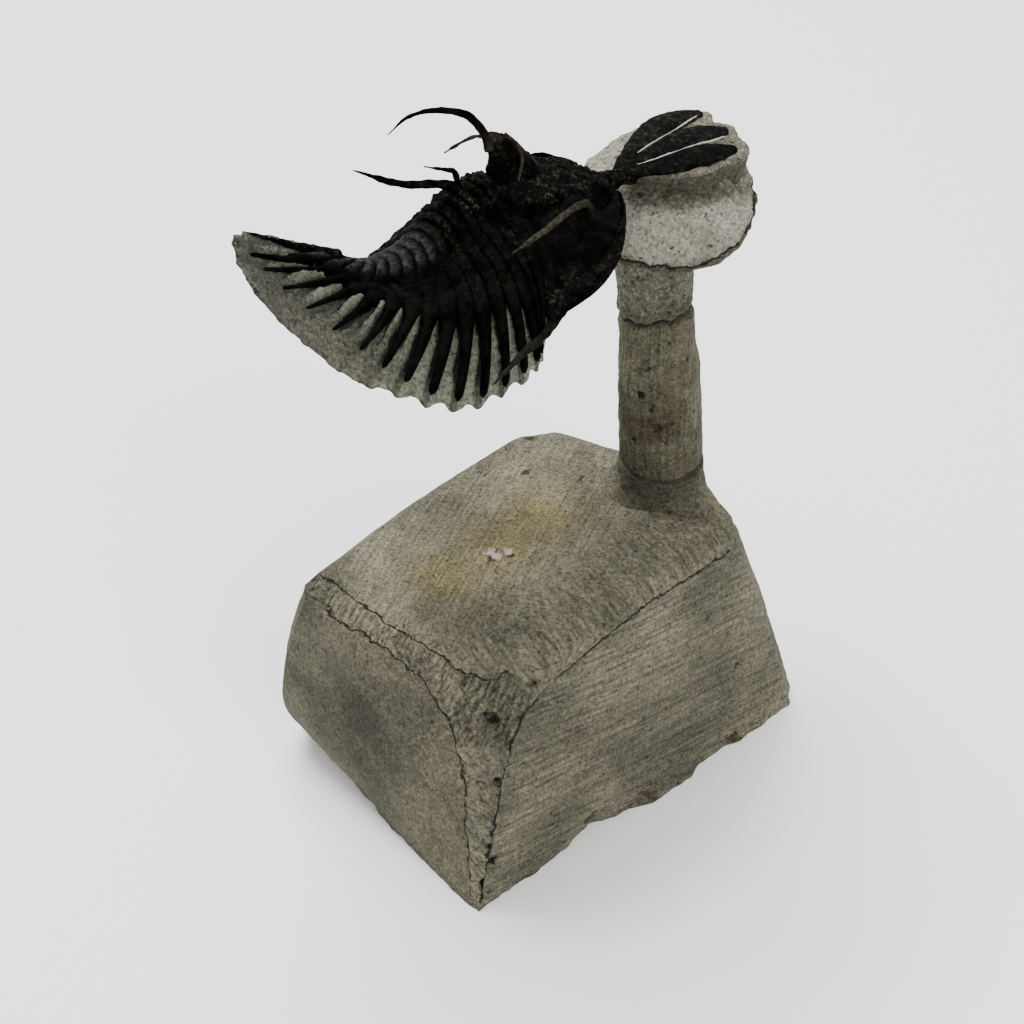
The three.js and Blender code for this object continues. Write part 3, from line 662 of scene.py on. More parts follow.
def head_relief(station, share, place):
    """Heights in mm: the eyes and neck furrow of the frame's solid, and finer rims, lenses, tubercles and
    crumb."""
    reach = np.abs(share)
    lobe = along(LOBE_HALF_WIDTH, station)
    out = out_at(station, share)
    glabella = 1 - smooth(0.85, 1.0, out / lobe)
    eye_far = ((station - EYE_STATION) / 0.2) ** 2 + ((reach - EYE_REACH) / 0.12) ** 2
    eye = np.exp(-(eye_far**1.4))
    lens = np.clip(np.sin(station * 150) * np.sin(reach * 210 + station * 75), 0, 1)
    lenses = 0.1 * lens * smooth(0.15, 0.4, eye) * smooth(0.35, 0.44, reach)
    neck_furrow = bell(station + 0.14, 0.05) * (0.55 * (reach < 0.75) + 0.1)
    axial_furrow = bell(out / lobe - 1.02, 0.13) * smooth(-0.98, -0.85, station)
    rim = smooth(0.86, 0.93, reach) - 0.8 * bell(reach - 0.84, 0.03)
    front_rim = smooth(0.9, 0.96, -station) - 0.8 * bell(station + 0.88, 0.025)
    tubercles = knobs(place, 0.7, 0.38, 1.7) * (0.26 * glabella + 0.06)
    crumb = rough(place, 1.0, 4) * (0.05 + 0.13 * glabella)
    relief = EYE_RISE * eye + lenses - neck_furrow - 0.5 * axial_furrow + 0.3 * rim + 0.2 * front_rim
    relief = relief + tubercles + crumb
    return relief * smooth(0.997, 0.93, -station), glabella, eye


def head_shield():
    """Rows bunched towards the front, where the outline turns fastest. The lower side meets the upper in
    front."""
    station = (-0.997 + 1.117 * np.linspace(0, 1, HEAD_ROWS) ** 1.5)[:, None]
    share = np.linspace(-1, 1, HEAD_ACROSS)[None]
    place, outward = skin(station, share)
    relief, glabella, eye = head_relief(station, share, place)
    edge = smooth(1.0, 0.9, np.abs(share))
    top = place + outward * (relief * (0.35 + 0.65 * edge))[..., None]
    below = np.linspace(1, -1, 60)[None, 1:-1]
    opened = smooth(0.999, 0.8, -station)
    bottom = shell_point(station, below, 0.12 + 1.4 * opened * (1 - 0.5 * below**2), 1.1 * opened)
    rings = np.concatenate([top, bottom], 1)
    dust = np.zeros(rings.shape[:2])
    mottled = 0.5 * smooth(0.7, 0.9, np.abs(share)) * smooth(-0.6, 0.4, noise(place, 2.5))
    round_eye = 0.35 * smooth(0.12, 0.4, eye) * (1 - smooth(0.4, 0.8, eye))
    granulated = 0.8 * glabella * smooth(-1.0, 0.9, noise(place, 2.0, 6.1))
    dust[:, :HEAD_ACROSS] = 0.06 + granulated + mottled + round_eye
    return closed(rings, dust=np.clip(dust, 0, 1))


def inner_shell():
    """A plain shell under the bands, which closes the slits between them."""
    station = np.linspace(-0.05, AXIS_END - 0.1, 60)[:, None]
    limit = along(SHELL_REACH, station)
    top = shell_point(station, limit * np.linspace(-1, 1, 40)[None], 0.55)
    bottom = shell_point(station, limit * np.linspace(1, -1, 24)[None, 1:-1], 1.4, 1.0)
    return closed(np.concatenate([top, bottom], 1))


head = head_shield()
print("head", len(head["triangles"]), "triangles")

# %% [markdown]
# ## Horns, eye and cheek spines, and the fork
# These are all tapering tubes along a smooth route. A curve object with a bevel could make them, but a numpy
# sweep lets the section be flat or round, and roughens it as old shell is. Routes are a few real places
# each.

# %% Sweeping a tube


def route_through(points, steps):
    """A curve through a few points: on each span a cubic whose slopes are half the chords over the
    neighbours, walked at even lengths."""
    points = np.asarray(points, float)
    padded = np.concatenate([[2 * points[0] - points[1]], points, [2 * points[-1] - points[-2]]])
    t = np.linspace(0, 1, 24, endpoint=False)[:, None]
    fine = []
    for a, b, c, d in zip(padded, padded[1:], padded[2:], padded[3:]):
        fine.append(0.5 * (2 * b + (c - a) * t + (2 * a - 5 * b + 4 * c - d) * t**2
                           + (3 * b - a - 3 * c + d) * t**3))
    fine = np.concatenate([*fine, points[-1:]])
    length = np.concatenate([[0], np.cumsum(np.linalg.norm(np.diff(fine, axis=0), axis=1))])
    even = np.linspace(0, length[-1], steps)
    return np.stack([np.interp(even, length, fine[:, k]) for k in range(3)], -1)


def tube(points, radius, flat=1.0, around=16, steps=70, crumb=0.05, **masks):
    """A loop carried along a route: its width is a radius for each step, its height that times `flat`. The
    last few steps round off the tip. Masks are values for each step."""
    path = route_through(points, steps)
    tangent = unit(np.gradient(path, axis=0))
    side = unit(np.cross(tangent, [0, 0, 1]))
    up = np.cross(side, tangent)
    t = np.linspace(0, 1, steps)
    width = np.interp(t, np.linspace(0, 1, len(radius)), radius) * np.sqrt(np.clip((1 - t) / 0.02, 0.03, 1))
    turn = full_turn(around)
    ring = side[:, None] * np.cos(turn)[None, :, None] + up[:, None] * (flat * np.sin(turn))[None, :, None]
    rings = path[:, None] + ring * width[:, None, None]
    rings = rings + ring * (crumb * rough(rings, 0.8))[..., None]
    return closed(rings, **{name: np.interp(t, np.linspace(0, 1, len(m)), m)[:, None]
                            for name, m in masks.items()})


def horn_route(route):
    """A route of ahead, right and height in world places."""
    return np.array([body_point(*point) for point in route])


def paired_route(station, side, route):
    """A route of out, down and back from one station's crest, for the right side (1) or the left (-1)."""
    return np.array([placed(np.array(float(station)), side * out, down, back) for out, down, back in route])


MAIN_HORN = [(-17.0, 0, 84.6), (-17.4, -0.2, 86.4), (-18.9, -0.8, 88.7), (-21.9, -1.4, 90.1),
             (-24.6, -2.0, 90.1), (-26.7, -2.5, 88.6)]
SHORT_HORN = [(-16.9, -0.1, 86.0), (-18.0, -1.6, 85.4), (-20.0, -3.2, 83.6)]
THIN_HORN = [(-15.6, 0.5, 86.1), (-14.9, 1.7, 85.2), (-14.9, 2.4, 83.8), (-15.7, 2.9, 82.0)]
REAR_SPINE = [(-19.6, 0, 80.9), (-22.5, 0, 82.9), (-27.1, 0, 84.9), (-32.1, 0, 88.5)]
THORN = [(-20.6, 0, 82.0), (-21.0, 0, 83.7), (-21.9, 0, 84.3), (-24.4, 0, 85.7)]
EYE_SPINE = [(6.5, 5.2, -2.2), (6.9, 3.0, -2.6), (7.7, 1.7, -1.0), (8.8, 1.2, 3.0), (10.2, 0.4, 7.9)]
EYE_STUB = [(6.5, 5.2, -2.2), (6.9, 3.0, -2.6), (7.3, 2.2, -2.0)]
CHEEK_SPINE = [(10.6, 9.6, 1.2), (12.4, 10.1, 4.8), (13.5, 9.9, 8.6), (14.7, 10.1, 12.9)]
horns = [
    tube(horn_route(MAIN_HORN), [0.5, 0.42, 0.36, 0.28, 0.17, 0.05], pale=[0.8, 0.2, 0, 0, 0, 0, 0, 0]),
    tube(horn_route(SHORT_HORN), [0.3, 0.2, 0.14, 0.05], pale=[1, 0.9, 0.8], crumb=0.1),
    tube(horn_route(THIN_HORN), [0.2, 0.17, 0.15, 0.12], pale=[0.7, 1, 1]),
    tube(horn_route(REAR_SPINE), [0.75, 0.45, 0.38, 0.28, 0.08], dust=[0.3, 0.1], crumb=0.06),
    tube(horn_route(THORN), [0.36, 0.28, 0.14, 0.05], dust=[0.3, 0.1], crumb=0.06),
    tube(paired_route(-0.3, 1, EYE_SPINE), [0.5, 0.36, 0.32, 0.25, 0.07], pale=[0, 0.6, 1, 1, 0.9],
         crumb=0.1),
    tube(paired_route(-0.3, -1, EYE_STUB), [0.5, 0.4, 0.3], pale=[0, 0.6, 0.9], crumb=0.1),
    *(tube(paired_route(0, side, CHEEK_SPINE), [0.8, 0.5, 0.42, 0.3, 0.08], flat=0.8,
           pale=[0, 0.15, 0.35, 0.4], crumb=0.1) for side in (1, -1)),
    tube([shell_point(AXIS_END, share, 0.2) for share in (0.02, 0.4, 0.7, 1.0)], [0.75, 0.5, 0.28, 0.1],
         dust=[0.4, 0.2]),
]

# %% The crest behind the head
# Each level's height, its front and rear edge ahead of the fork's root, and its half thickness.
CREST_LEVELS = [(80.2, -10.9, -17.6, 1.7), (81.6, -11.9, -17.3, 1.3), (82.9, -12.8, -17.1, 0.95),
                (84.4, -13.9, -17.0, 0.6), (85.7, -15.3, -17.1, 0.36), (86.3, -16.3, -17.3, 0.25)]


def neck_crest():
    """A fin: ovals stacked in height, whose front, rear and half thickness follow a few levels."""
    level, front, rear, half = np.array(CREST_LEVELS).T
    height = np.linspace(level[0], level[-1], 60)
    front, rear, half = (np.interp(height, level, v)[:, None] for v in (front, rear, half))
    turn = full_turn(56)[None]
    middle, reach = (front + rear) / 2, (front - rear) / 2
    rings = body_point(middle + reach * np.cos(turn), half * np.sin(turn), height[:, None])
    relief = 0.1 * rough(rings, 1.1, 4) + 0.1 * knobs(rings, 0.8, 0.4, 2.2)
    red = smooth(0.35, 0.8, np.cos(turn)) * smooth(81.5, 83, height[:, None])
    pale = smooth(85.0, 85.8, height[:, None]) * np.ones_like(turn) * 0.9
    return closed(pushed(rings, relief), red=red, pale=pale, dust=0.3)


# %% The fork
FORK_LEVEL = 74.45
TINES = [
    [(10.3, 1.7), (11.7, 5.2), (13.7, 9.2), (15.2, 11.3), (17.5, 12.8), (19.9, 13.8)],
    [(10.5, 1.9), (13.2, 5.1), (15.9, 7.6), (18.4, 9.3), (20.8, 10.3), (22.3, 10.7)],
    [(10.5, 1.7), (13.2, 3.6), (16.2, 4.6), (18.9, 5.9), (21.3, 6.9), (23.0, 7.4)],
]
TINE_HALF_WIDTH = [(0, 0.7), (0.25, 1.05), (0.5, 1.4), (0.8, 1.35), (1, 0.5)]
# For each tine, how much dust it carries and how much painted sheen.
TINE_DUST_AND_SHEEN = [0.75, 0.6, 0.2]
TINE_FLATNESS = 0.42
STEM = [(-6.2, 0, 76.6), (-3.0, 0, 75.2), (0.6, 0, FORK_LEVEL)]


def fork():
    """A stem and three flat tines, each broad in its middle and round at its end."""
    parts = [tube(horn_route(STEM), [1.25, 1.1, 1.1], flat=0.75, around=26, crumb=0.2, dust=[0.3, 0.5])]
    # grey scales each tine's real dust and its painted sheen.
    for route, grey in zip(TINES, TINE_DUST_AND_SHEEN):
        places = [(x, y, FORK_LEVEL) for x, y in route]
        width = along(TINE_HALF_WIDTH, np.linspace(0, 1, 30))
        parts.append(tube(places, width * 1.06, flat=TINE_FLATNESS, around=36, steps=110, crumb=0.09,
                          dust=[0.4, 0.8 * grey], sheen=[0, 0.2 * grey, 0.3 * grey]))
    return joined(parts)


trilobite = joined([head, inner_shell(), *bands, *horns, neck_crest(), fork()])
new_piece("trilobite_shell", trilobite, SHELL, "trilobite")

# %% [markdown]
# ## The rock under the body
# A thin slab of rock was left between the side spines and past the tail. Its margin is scalloped: a small
# point at each spine's tip. In the rear half the rock stands up beside each spine as a ridge. It
# follows the body's own surface, sunk a little below it, and its sink changes with the place between one
# spine and the next. Painted light makes the ridges and the cushions between the front spines pale, and
# painted shade darkens the low rock beside each spine.

# %% Body matrix
MATRIX_REACH = [(-1, 0.88), (0, 0.93), (0.4, 0.98), (8, 1.0), (11, 1.09), (15, 1.08), (17, 1.05)]
LEFT_MATRIX_REACH = [(-1, 0.93), (6, 0.93), (9, 0.84), (13, 0.86), (15.5, 1.04), (17, 1.16)]
MATRIX_PITS = [(-19.8, -12.5, 69.0, 0.5), (-20.1, -14.2, 69.0, 0.5)]
TAIL_END = 0.6
ROCK_SINK = 1.45
CUSHION_RISE, RIDGE_RISE, FAR_END_RISE = 0.9, 0.8, 0.35


def body_matrix():
    """Each station's ring runs over the top from the left margin to the right, and back under, drawn in.
    Between two spines the rock stands up as a cushion, (1 - (distance to the middle)^2)^0.7, and in the rear
    also as a ridge, a bell beside the spine. The far margin rises a little at the tail."""
    station = np.concatenate([np.linspace(-0.93, 0, 40, endpoint=False),
                              np.linspace(0, AXIS_END, 340)])[:, None]
    at_spine = 0.5 - 0.5 * np.cos(2 * np.pi * station)
    behind = smooth(0, 0.4, station)
    limit = along(MATRIX_REACH, station) * (1 + 0.02 * behind * (at_spine - 0.6) * smooth(11, 8, station))
    across = np.linspace(-1, 1, 171)[None]
    share = across * limit * np.where(across < 0, along(LEFT_MATRIX_REACH, station), 1)
    reach = np.abs(share)
    place = shell_point(station, share)
    lean = ((station + 0.12 * noise(place, 3.0, 2.2)) % 1)
    cushion = np.clip(1 - (np.abs(lean - 0.08 - (lean > 0.58)) / 0.42) ** 2, 0, 1) ** 0.7
    outer = smooth(0.45, 0.62, reach) * smooth(1.05, 0.85, reach) * (1 - 0.45 * smooth(13, 15, station))
    rear = smooth(6, 11, station)
    ridge = rear * bell(lean - 0.85, 0.2) * smooth(0.45, 0.58, reach) * smooth(0.98, 0.75, reach)
    far_end = smooth(13.5, 16.5, station) * smooth(0.05, -0.5, share)
    rise = CUSHION_RISE * cushion * outer * behind + RIDGE_RISE * ridge * smooth(15.5, 14, station)
    rise = rise + FAR_END_RISE * far_end + 0.6 * smooth(12.5, 15, station)
    sink = ROCK_SINK - rise + 1.1 * smooth(0.6, 0.2, reach) + 0.5 * (1 - behind)
    top = shell_point(station, share, sink, 0.8 + 0.4 * (1 - behind))
    below = np.linspace(1, -1, 71)[None, 1:-1]
    low_reach = np.abs(below)
    under_share = below * limit * 0.88 * np.where(below < 0, along(LEFT_MATRIX_REACH, station), 1)
    filling = along(DEPTH, station) * 0.75
    thickness = 1.9 * (1 - 0.3 * low_reach) + filling * (1 - low_reach**CURL)
    bottom = shell_point(station, under_share, ROCK_SINK + thickness, 1.5)
    rings = np.concatenate([top, bottom], 1)
    onward = unit(rings[-1] - rings[-20])
    turn = np.linspace(0, np.pi / 2, 9)[1:-1, None, None]
    core = rings[-1].mean(0)
    end = core + (rings[-1] - core) * np.cos(turn) ** 0.5 + onward * np.sin(turn) * TAIL_END
    rings = np.concatenate([rings, end])
    crumb = 0.22 * rough(rings, 1.6, 4) + 0.1 * knobs(rings, 0.7, 0.4, 4.4) + 0.15 * noise(rings, 5.0)
    rings = pushed(rings, crumb)
    count = across.shape[1]
    lit, dark, pit = (np.zeros(rings.shape[:2]) for _ in range(3))
    # Painted highlight: the lit mask brightens the cushions between the front spines and the rear ridges.
    front_lit = (1 - smooth(8, 11, station)) * smooth(0.15, 0.6, cushion) * smooth(0.55, 0.7, reach)
    rows = len(station)
    lit[:rows, :count] = np.maximum(front_lit, 0.95 * ridge) * behind
    # Painted shade: the dark mask darkens the low rock beside each spine.
    beside = smooth(0.45, 0.1, cushion) * smooth(1.0, 0.8, reach)
    dark[:rows, :count] = behind * beside * (1 - 0.7 * smooth(11, 13, station))
    pit[:, :count] = spots(rings[:, :count], MATRIX_PITS)
    return closed(rings, lit=lit, dark=dark, pit=pit)


new_piece("body_matrix_rock", body_matrix(), BODY_STONE, "body_matrix")

# %% [markdown]
# ## The block
# The block was sawn and filed from limestone: two big flat faces meet in a blunt filed bevel at the front,
# the top is slightly crowned, and the corners are cut off. It could be a cube with Bevel and sculpting, but
# its outlines at a few heights say its shape exactly, so it is a loft: five corners whose places follow the
# height, straight faces between them with a slight bulge, and cut corners rounded by averaging neighbours.

# %% Block outlines
BLOCK_TOP = 29.4
CROWN_RISE = 0.9
LEVELS = [0, 4, 9, 16, 22, 26, 28.4, BLOCK_TOP]
CORNERS = {
    "front": [(-4.1, -34.0), (-3.7, -33.0), (-3.2, -31.7), (-2.6, -29.8), (-2.0, -28.0), (-1.6, -26.9),
              (-1.2, -25.7), (-0.8, -22.7)],
    "right": [(35.2, -0.8), (34.2, -1.0), (32.8, -1.1), (30.7, -1.2), (28.7, -1.3), (27.4, -1.3),
              (26.1, -1.3), (24.4, -1.3)],
    "behind": [(24.4, 15.2), (23.6, 14.3), (22.6, 13.2), (21.3, 11.8), (20.2, 10.6), (19.4, 9.9), (18.8, 9.4),
               (17.7, 8.6)],
    "back": [(10.6, 27.6), (9.7, 26.0), (8.4, 24.0), (6.6, 21.2), (5.2, 18.8), (4.2, 17.2), (3.0, 16.4),
             (2.1, 14.9)],
    "left": [(-25.2, -5.5), (-27.2, -7.4), (-28.2, -9.0), (-27.5, -9.5), (-26.2, -10.0), (-25.0, -10.4),
             (-23.2, -9.8), (-20.7, -8.7)],
}
RIDGE_RIGHT_CUT = [0.5, 0.9, 1.4, 2.0, 3.6, 5.8, 7.4, 6.6]
RIDGE_LEFT_CUT = [1.0, 1.7, 2.7, 3.6, 6.0, 8.2, 8.6, 7.4]
OTHER_CUTS = [1.6, 3.0, 2.6, 1.8]
FACE_BULGES = [0.7, 0.1, 0, 0.7, 0.7]
FACE_STEPS = [112, 36, 36, 60, 92]
CUT_STEPS = [10, 10, 10, 10, 24]
SHOULDER = 26
RIGHT_EDGE = [(0, 0.3), (0.08, 0.4), (0.16, 0.5), (0.24, 0.1), (0.32, -0.45), (0.35, -0.9), (0.37, -0.6),
              (0.4, -0.05), (0.48, 0.35), (0.5, 0.8), (0.53, 1.2), (0.56, 1.5), (0.6, 1.4), (0.64, 1.25),
              (0.69, 0.75), (0.74, 0.5), (0.78, 0.45), (0.81, 0.95), (0.9, 0.9), (1, 0.6)]


def block_outlines(height):
    """For each height: the five corners from their tables, each cut off on both sides, and points spread
    evenly along the faces and the cuts. A face bulges by a sine, and near the floor the right one is
    chipped."""
    def at_height(values):
        return along(list(zip(LEVELS, values)), height)

    corners = np.stack([np.stack([at_height([p[k] for p in places]) for k in (0, 1)], -1)
                        for places in CORNERS.values()], 1)
    others = [np.full(len(height), cut) for cut in OTHER_CUTS]
    after = np.stack([at_height(RIDGE_RIGHT_CUT), *others], 1)
    before = np.stack([at_height(RIDGE_LEFT_CUT), *others], 1)
    run = np.roll(corners, -1, 1) - corners
    length = np.linalg.norm(run, axis=-1)
    direction = run / length[..., None]
    outward = np.stack([direction[..., 1], -direction[..., 0]], -1)
    start = corners + direction * after[..., None]
    end = corners + direction * (length - np.roll(before, -1, 1))[..., None]
    pieces = []
    for i in range(5):
        t = np.linspace(0, 1, FACE_STEPS[i], endpoint=False)[None, :]
        bulge = FACE_BULGES[i] * np.sin(np.pi * t) * np.ones((len(height), 1))
        if i == 0:
            low = np.clip(1 - height / 5, 0, 1)[:, None]
            bulge = bulge * (1 - low) + low * (np.interp(t, *np.array(RIGHT_EDGE).T) - 0.3 * (1 - t))
        face = start[:, i, None] * (1 - t[..., None]) + end[:, i, None] * t[..., None]
        pieces.append(face + bulge[..., None] * outward[:, i, None])
        c = np.linspace(0, 1, CUT_STEPS[i], endpoint=False)[None, :, None]
        pieces.append(end[:, i, None] * (1 - c) + start[:, (i + 1) % 5, None] * c)
    outline = np.concatenate(pieces, 1)
    outline = (np.roll(outline, 1, 1) + 4 * outline + np.roll(outline, -1, 1)) / 6
    return np.concatenate([outline, np.broadcast_to(height[:, None, None], (*outline.shape[:2], 1))], -1)


def steady_outlines(height):
    """The outlines with their slope from 22 mm to the shoulder carried on above it, as the flat faces do."""
    below = block_outlines(np.minimum(height, SHOULDER))
    slope = (block_outlines(np.full(1, SHOULDER)) - block_outlines(np.full(1, 22.0))) / (SHOULDER - 22)
    return below + slope * np.maximum(height - SHOULDER, 0)[:, None, None]


# %% Marks on the block
LEFT_BEVEL_LINE = [(-21.1, -9.0, 28.7), (-17.2, -12.9, 29.0), (-13.8, -16.0, 28.8), (-10.5, -18.6, 28.7),
                   (-7.7, -20.6, 28.6), (-5.0, -22.0, 27.4), (-2.4, -22.4, 26.9), (-0.2, -21.9, 27.3)]
LEFT_FACE_LINE = [(-20.2, -12.4, 27.9), (-14.3, -17.5, 27.4), (-9.9, -21.5, 25.6), (-6.7, -24.9, 21.2),
                  (-5.3, -27.6, 16.1), (-5.2, -29.7, 9.9), (-4.7, -33.0, 0.6)]
RIGHT_FACE_LINE = [(-3.6, -33.3, 1.0), (-2.0, -30.2, 10.6), (-1.4, -28.0, 16.5), (-0.2, -25.9, 20.7),
                   (1.4, -23.9, 24.2), (4.6, -21.6, 25.7), (9.6, -17.2, 27.2), (15.2, -12.0, 28.1),
                   (21.1, -6.7, 27.4), (24.7, -3.2, 27.1)]
RIGHT_RUN = (0.77, 0.64)
LEFT_RUN = (0.81, -0.586)
TOWARDS_RIGHT = np.array([0.64, -0.77, 0])


def near_line(points, line):
    """Distance to a line of straight runs: for each run, to the nearest point between its ends."""
    line = np.array(line, float)
    nearest = np.full(points.shape[:-1], 1e9)
    for a, b in zip(line, line[1:]):
        t = np.clip(((points - a) @ (b - a)) / ((b - a) @ (b - a)), 0, 1)
        nearest = np.minimum(nearest, np.linalg.norm(points - a - t[..., None] * (b - a), axis=-1))
    return nearest


def beyond(points, line, run, value):
    """Distance to a line, drawn flat as run and value: the difference in value over the root of 1 + slope^2.
    It is above 0 where the point lies under the line, else below 0."""
    line = np.array(line, float)
    runs = line[:, :2] @ run
    order = np.argsort(runs)
    runs, values = runs[order], value(line)[order]
    slopes = np.diff(values) / np.diff(runs)
    here = points[..., :2] @ np.array(run)
    limit = np.interp(here, runs, values)
    slope = np.interp(here, (runs[1:] + runs[:-1]) / 2, slopes)
    flat = np.abs(limit - value(points)) / np.hypot(1, slope)
    near = near_line(points, line)
    away = np.where((here > runs[0]) & (here < runs[-1]), np.maximum(flat, 0.12 * near), near)
    return away * np.where(value(points) < limit, 1, -1)


def height_of(points):
    """The third coordinate of each point."""
    return points[..., 2]


def behind_left_face(points):
    """How far back a point lies from the left face."""
    return points[..., 0] * 0.586 + points[..., 1] * 0.81


BLACK_PITS = [(-2.3, -24.9, 22.8, 1.0), (-3.0, -24.7, 23.2, 0.6), (2.3, -22.7, 26.2, 0.6),
              (-7.0, -21.4, 28.3, 0.5), (-2.1, -31.3, 6.0, 0.8), (-3.2, -33.0, 1.6, 0.9),
              (-1.7, -28.1, 16.3, 0.6), (26.7, -6.1, 10.9, 0.7), (-2.6, -30.7, 8.3, 0.5),
              (-3.4, -32.4, 3.6, 0.5), (21.9, -6.5, 14.2, 0.4)]
RUSTY_SPOTS = [(1.5, 6.7, 30.0, 0.6), (8.2, 5.8, 30.0, 0.35), (-2.2, -7.6, 30.1, 0.6),
               (-0.2, -7.2, 30.1, 0.5), (26.3, -8.1, 0.8, 1.2), (15.7, -17.0, 0.8, 1.4),
               (9.3, -22.6, 2.4, 1.1), (2.1, 13.2, 29.4, 0.6)]
WHITE_PITS = [(-2.5, -6.6, 30.1, 0.6), (-1.7, -7.2, 30.1, 0.7), (-0.4, -6.6, 30.2, 0.6)]


def block():
    """The loft, its crown, its relief and its marks."""
    height = np.concatenate([np.linspace(0, 1.2, 6, endpoint=False), np.linspace(1.2, BLOCK_TOP, 92)])
    walls, steady = block_outlines(height), steady_outlines(height)
    right = beyond(walls, RIGHT_FACE_LINE, RIGHT_RUN, height_of)
    left = beyond(walls, LEFT_FACE_LINE, LEFT_RUN, height_of)
    facing_right = walls @ TOWARDS_RIGHT > 12
    facing_left = behind_left_face(walls) < -10
    on_faces = np.maximum(facing_right * smooth(-0.3, 0.3, right), facing_left * smooth(-0.3, 0.3, left))
    walls = walls + (steady - walls) * on_faces[..., None]
    rim = walls[-1]
    middle = rim.mean(0)
    share = np.linspace(1, 0.02, 78)[1:, None, None]
    crown = middle + (rim[None] - middle) * share
    crown[..., 2] = BLOCK_TOP + CROWN_RISE * (1 - share[..., 0] ** 2)
    rings = np.concatenate([walls, crown])
    right = np.clip(beyond(rings, RIGHT_FACE_LINE, RIGHT_RUN, height_of), -3, 3)
    left = np.clip(beyond(rings, LEFT_FACE_LINE, LEFT_RUN, height_of), -3, 3)
    bevel = np.clip(beyond(rings, LEFT_BEVEL_LINE, LEFT_RUN, behind_left_face), -3, 3)
    rightward = rings @ TOWARDS_RIGHT
    right = np.where(rightward > 8, right, -3)
    left = np.where(behind_left_face(rings) < -7, left, -3)
    bevel = np.where((rings[..., 2] > 20) & (rings[..., 0] < 2), bevel, -3)
    in_right, in_left = smooth(-0.12, 0.12, right), smooth(-0.12, 0.12, left)
    in_bevel = smooth(-0.12, 0.12, bevel) * (1 - in_left) * (1 - in_right)
    nearest = np.min(np.abs([right, left, bevel]), axis=0)
    cracks = bell(nearest, 0.25) * smooth(-0.5, 0.1, noise(rings, 1.6, 3.1))
    pits, white = spots(rings, BLACK_PITS), spots(rings, WHITE_PITS)
    rust = spots(rings, RUSTY_SPOTS)
    low = smooth(3.5, 0.3, rings[..., 2])
    relief = 0.08 * noise(rings, 6.0) + 0.05 * rough(rings, 1.2, 4) - 0.2 * cracks
    relief = relief - 0.16 * in_right - 0.12 * in_left - 0.2 * in_bevel
    relief = relief - 0.7 * smooth(0.4, 0.8, pits + 0.2 * rough(rings, 0.8)) - 0.3 * smooth(0.4, 0.8, white)
    relief = relief + low * (0.3 * noise(rings, 2.2, 5.5) + 0.2 * noise(rings, 1.0, 8.5) + 0.4 * rust)
    rings = pushed(rings, relief)
    rings[..., 2] = np.maximum(rings[..., 2], 0)
    rings[0, :, 2] = 0
    stain = np.max([spot(rings, (2.8, -1.2, 30.2), 5.5), spot(rings, (-6.9, -10.0, 29.9), 4.5),
                    spot(rings, (-1.5, -5.5, 30.2), 5.5)], axis=0)
    dark = np.max([spot(rings, (-17.1, -18.6, 16.6), 5.0), 0.45 * in_left, 0.45 * in_bevel,
                   0.25 * in_right], axis=0)
    elsewhere = (1 - in_right) * (1 - in_left) * (1 - in_bevel)
    shoulder = smooth(9, 13, rings @ TOWARDS_RIGHT) * elsewhere
    return closed(rings, pit=pits * 0.72, stain=stain * 0.9, rust=rust, white=white, dark=dark,
                  right_side=in_right, bevel=in_bevel, shoulder=shoulder, top=elsewhere * (1 - shoulder),
                  right_line=right, left_line=left, bevel_line=bevel)


FOOT = (17.0, 5.2)
FLARE_TOP = 33.8
FLARE_RADIUS = 4.85
FLARE_LEVELS = [(28.0, 2.3), (29.2, 1.5), (30.2, 0.85), (31.2, 0.4), (32.4, 0.12), (FLARE_TOP, 0)]
FLARE_SPREADS = [(190, 45, 2.2), (318, 30, 2.4)]


def foot_flare():
    """The fillet round the column's foot: it spreads to the left and the front right, each as a bell over the
    angle, and is steep in front and behind."""
    height = np.linspace(FLARE_LEVELS[0][0], FLARE_TOP, 40)[:, None]
    turn = full_turn(96)[None]
    off = [((np.degrees(turn) - angle + 180) % 360 - 180) / width for angle, width, _ in FLARE_SPREADS]
    spread = sum(reach * bell(o, 1) for o, (_, _, reach) in zip(off, FLARE_SPREADS))
    radius = FLARE_RADIUS + along(FLARE_LEVELS, height) * spread
    rings = xyz(FOOT[0] + radius * np.cos(turn), FOOT[1] + radius * np.sin(turn), height)
    crumb = 0.16 * rough(rings, 1.2) + 0.1 * noise(rings, 0.5)
    rings = pushed(rings, crumb * smooth(FLARE_TOP, FLARE_TOP - 0.6, height))
    front = smooth(0.3, 0.9, -np.sin(turn))
    # Painted shade: the dark mask darkens the fillet in front and towards the post.
    dark = np.clip(0.5 * smooth(30.5, FLARE_TOP, rings[..., 2]) + 0.8 * front, 0, 1)
    return closed(rings, dark=dark, shoulder=0.4, right_line=-3.0, left_line=-3.0, bevel_line=-3.0)


new_piece("base_block_stone", joined([block(), foot_flare()]), BLOCK_STONE, "base_block")


# %% [markdown]
# ## The column and its head
# The post was scraped round by hand, so it is not a true cylinder: it swells at its foot, leans a little,
# and is pitted. Above its broken joint line come the collar, the flared disc, and the pad of rock that still
# carries the fork, with pale calcite veins along the tines.

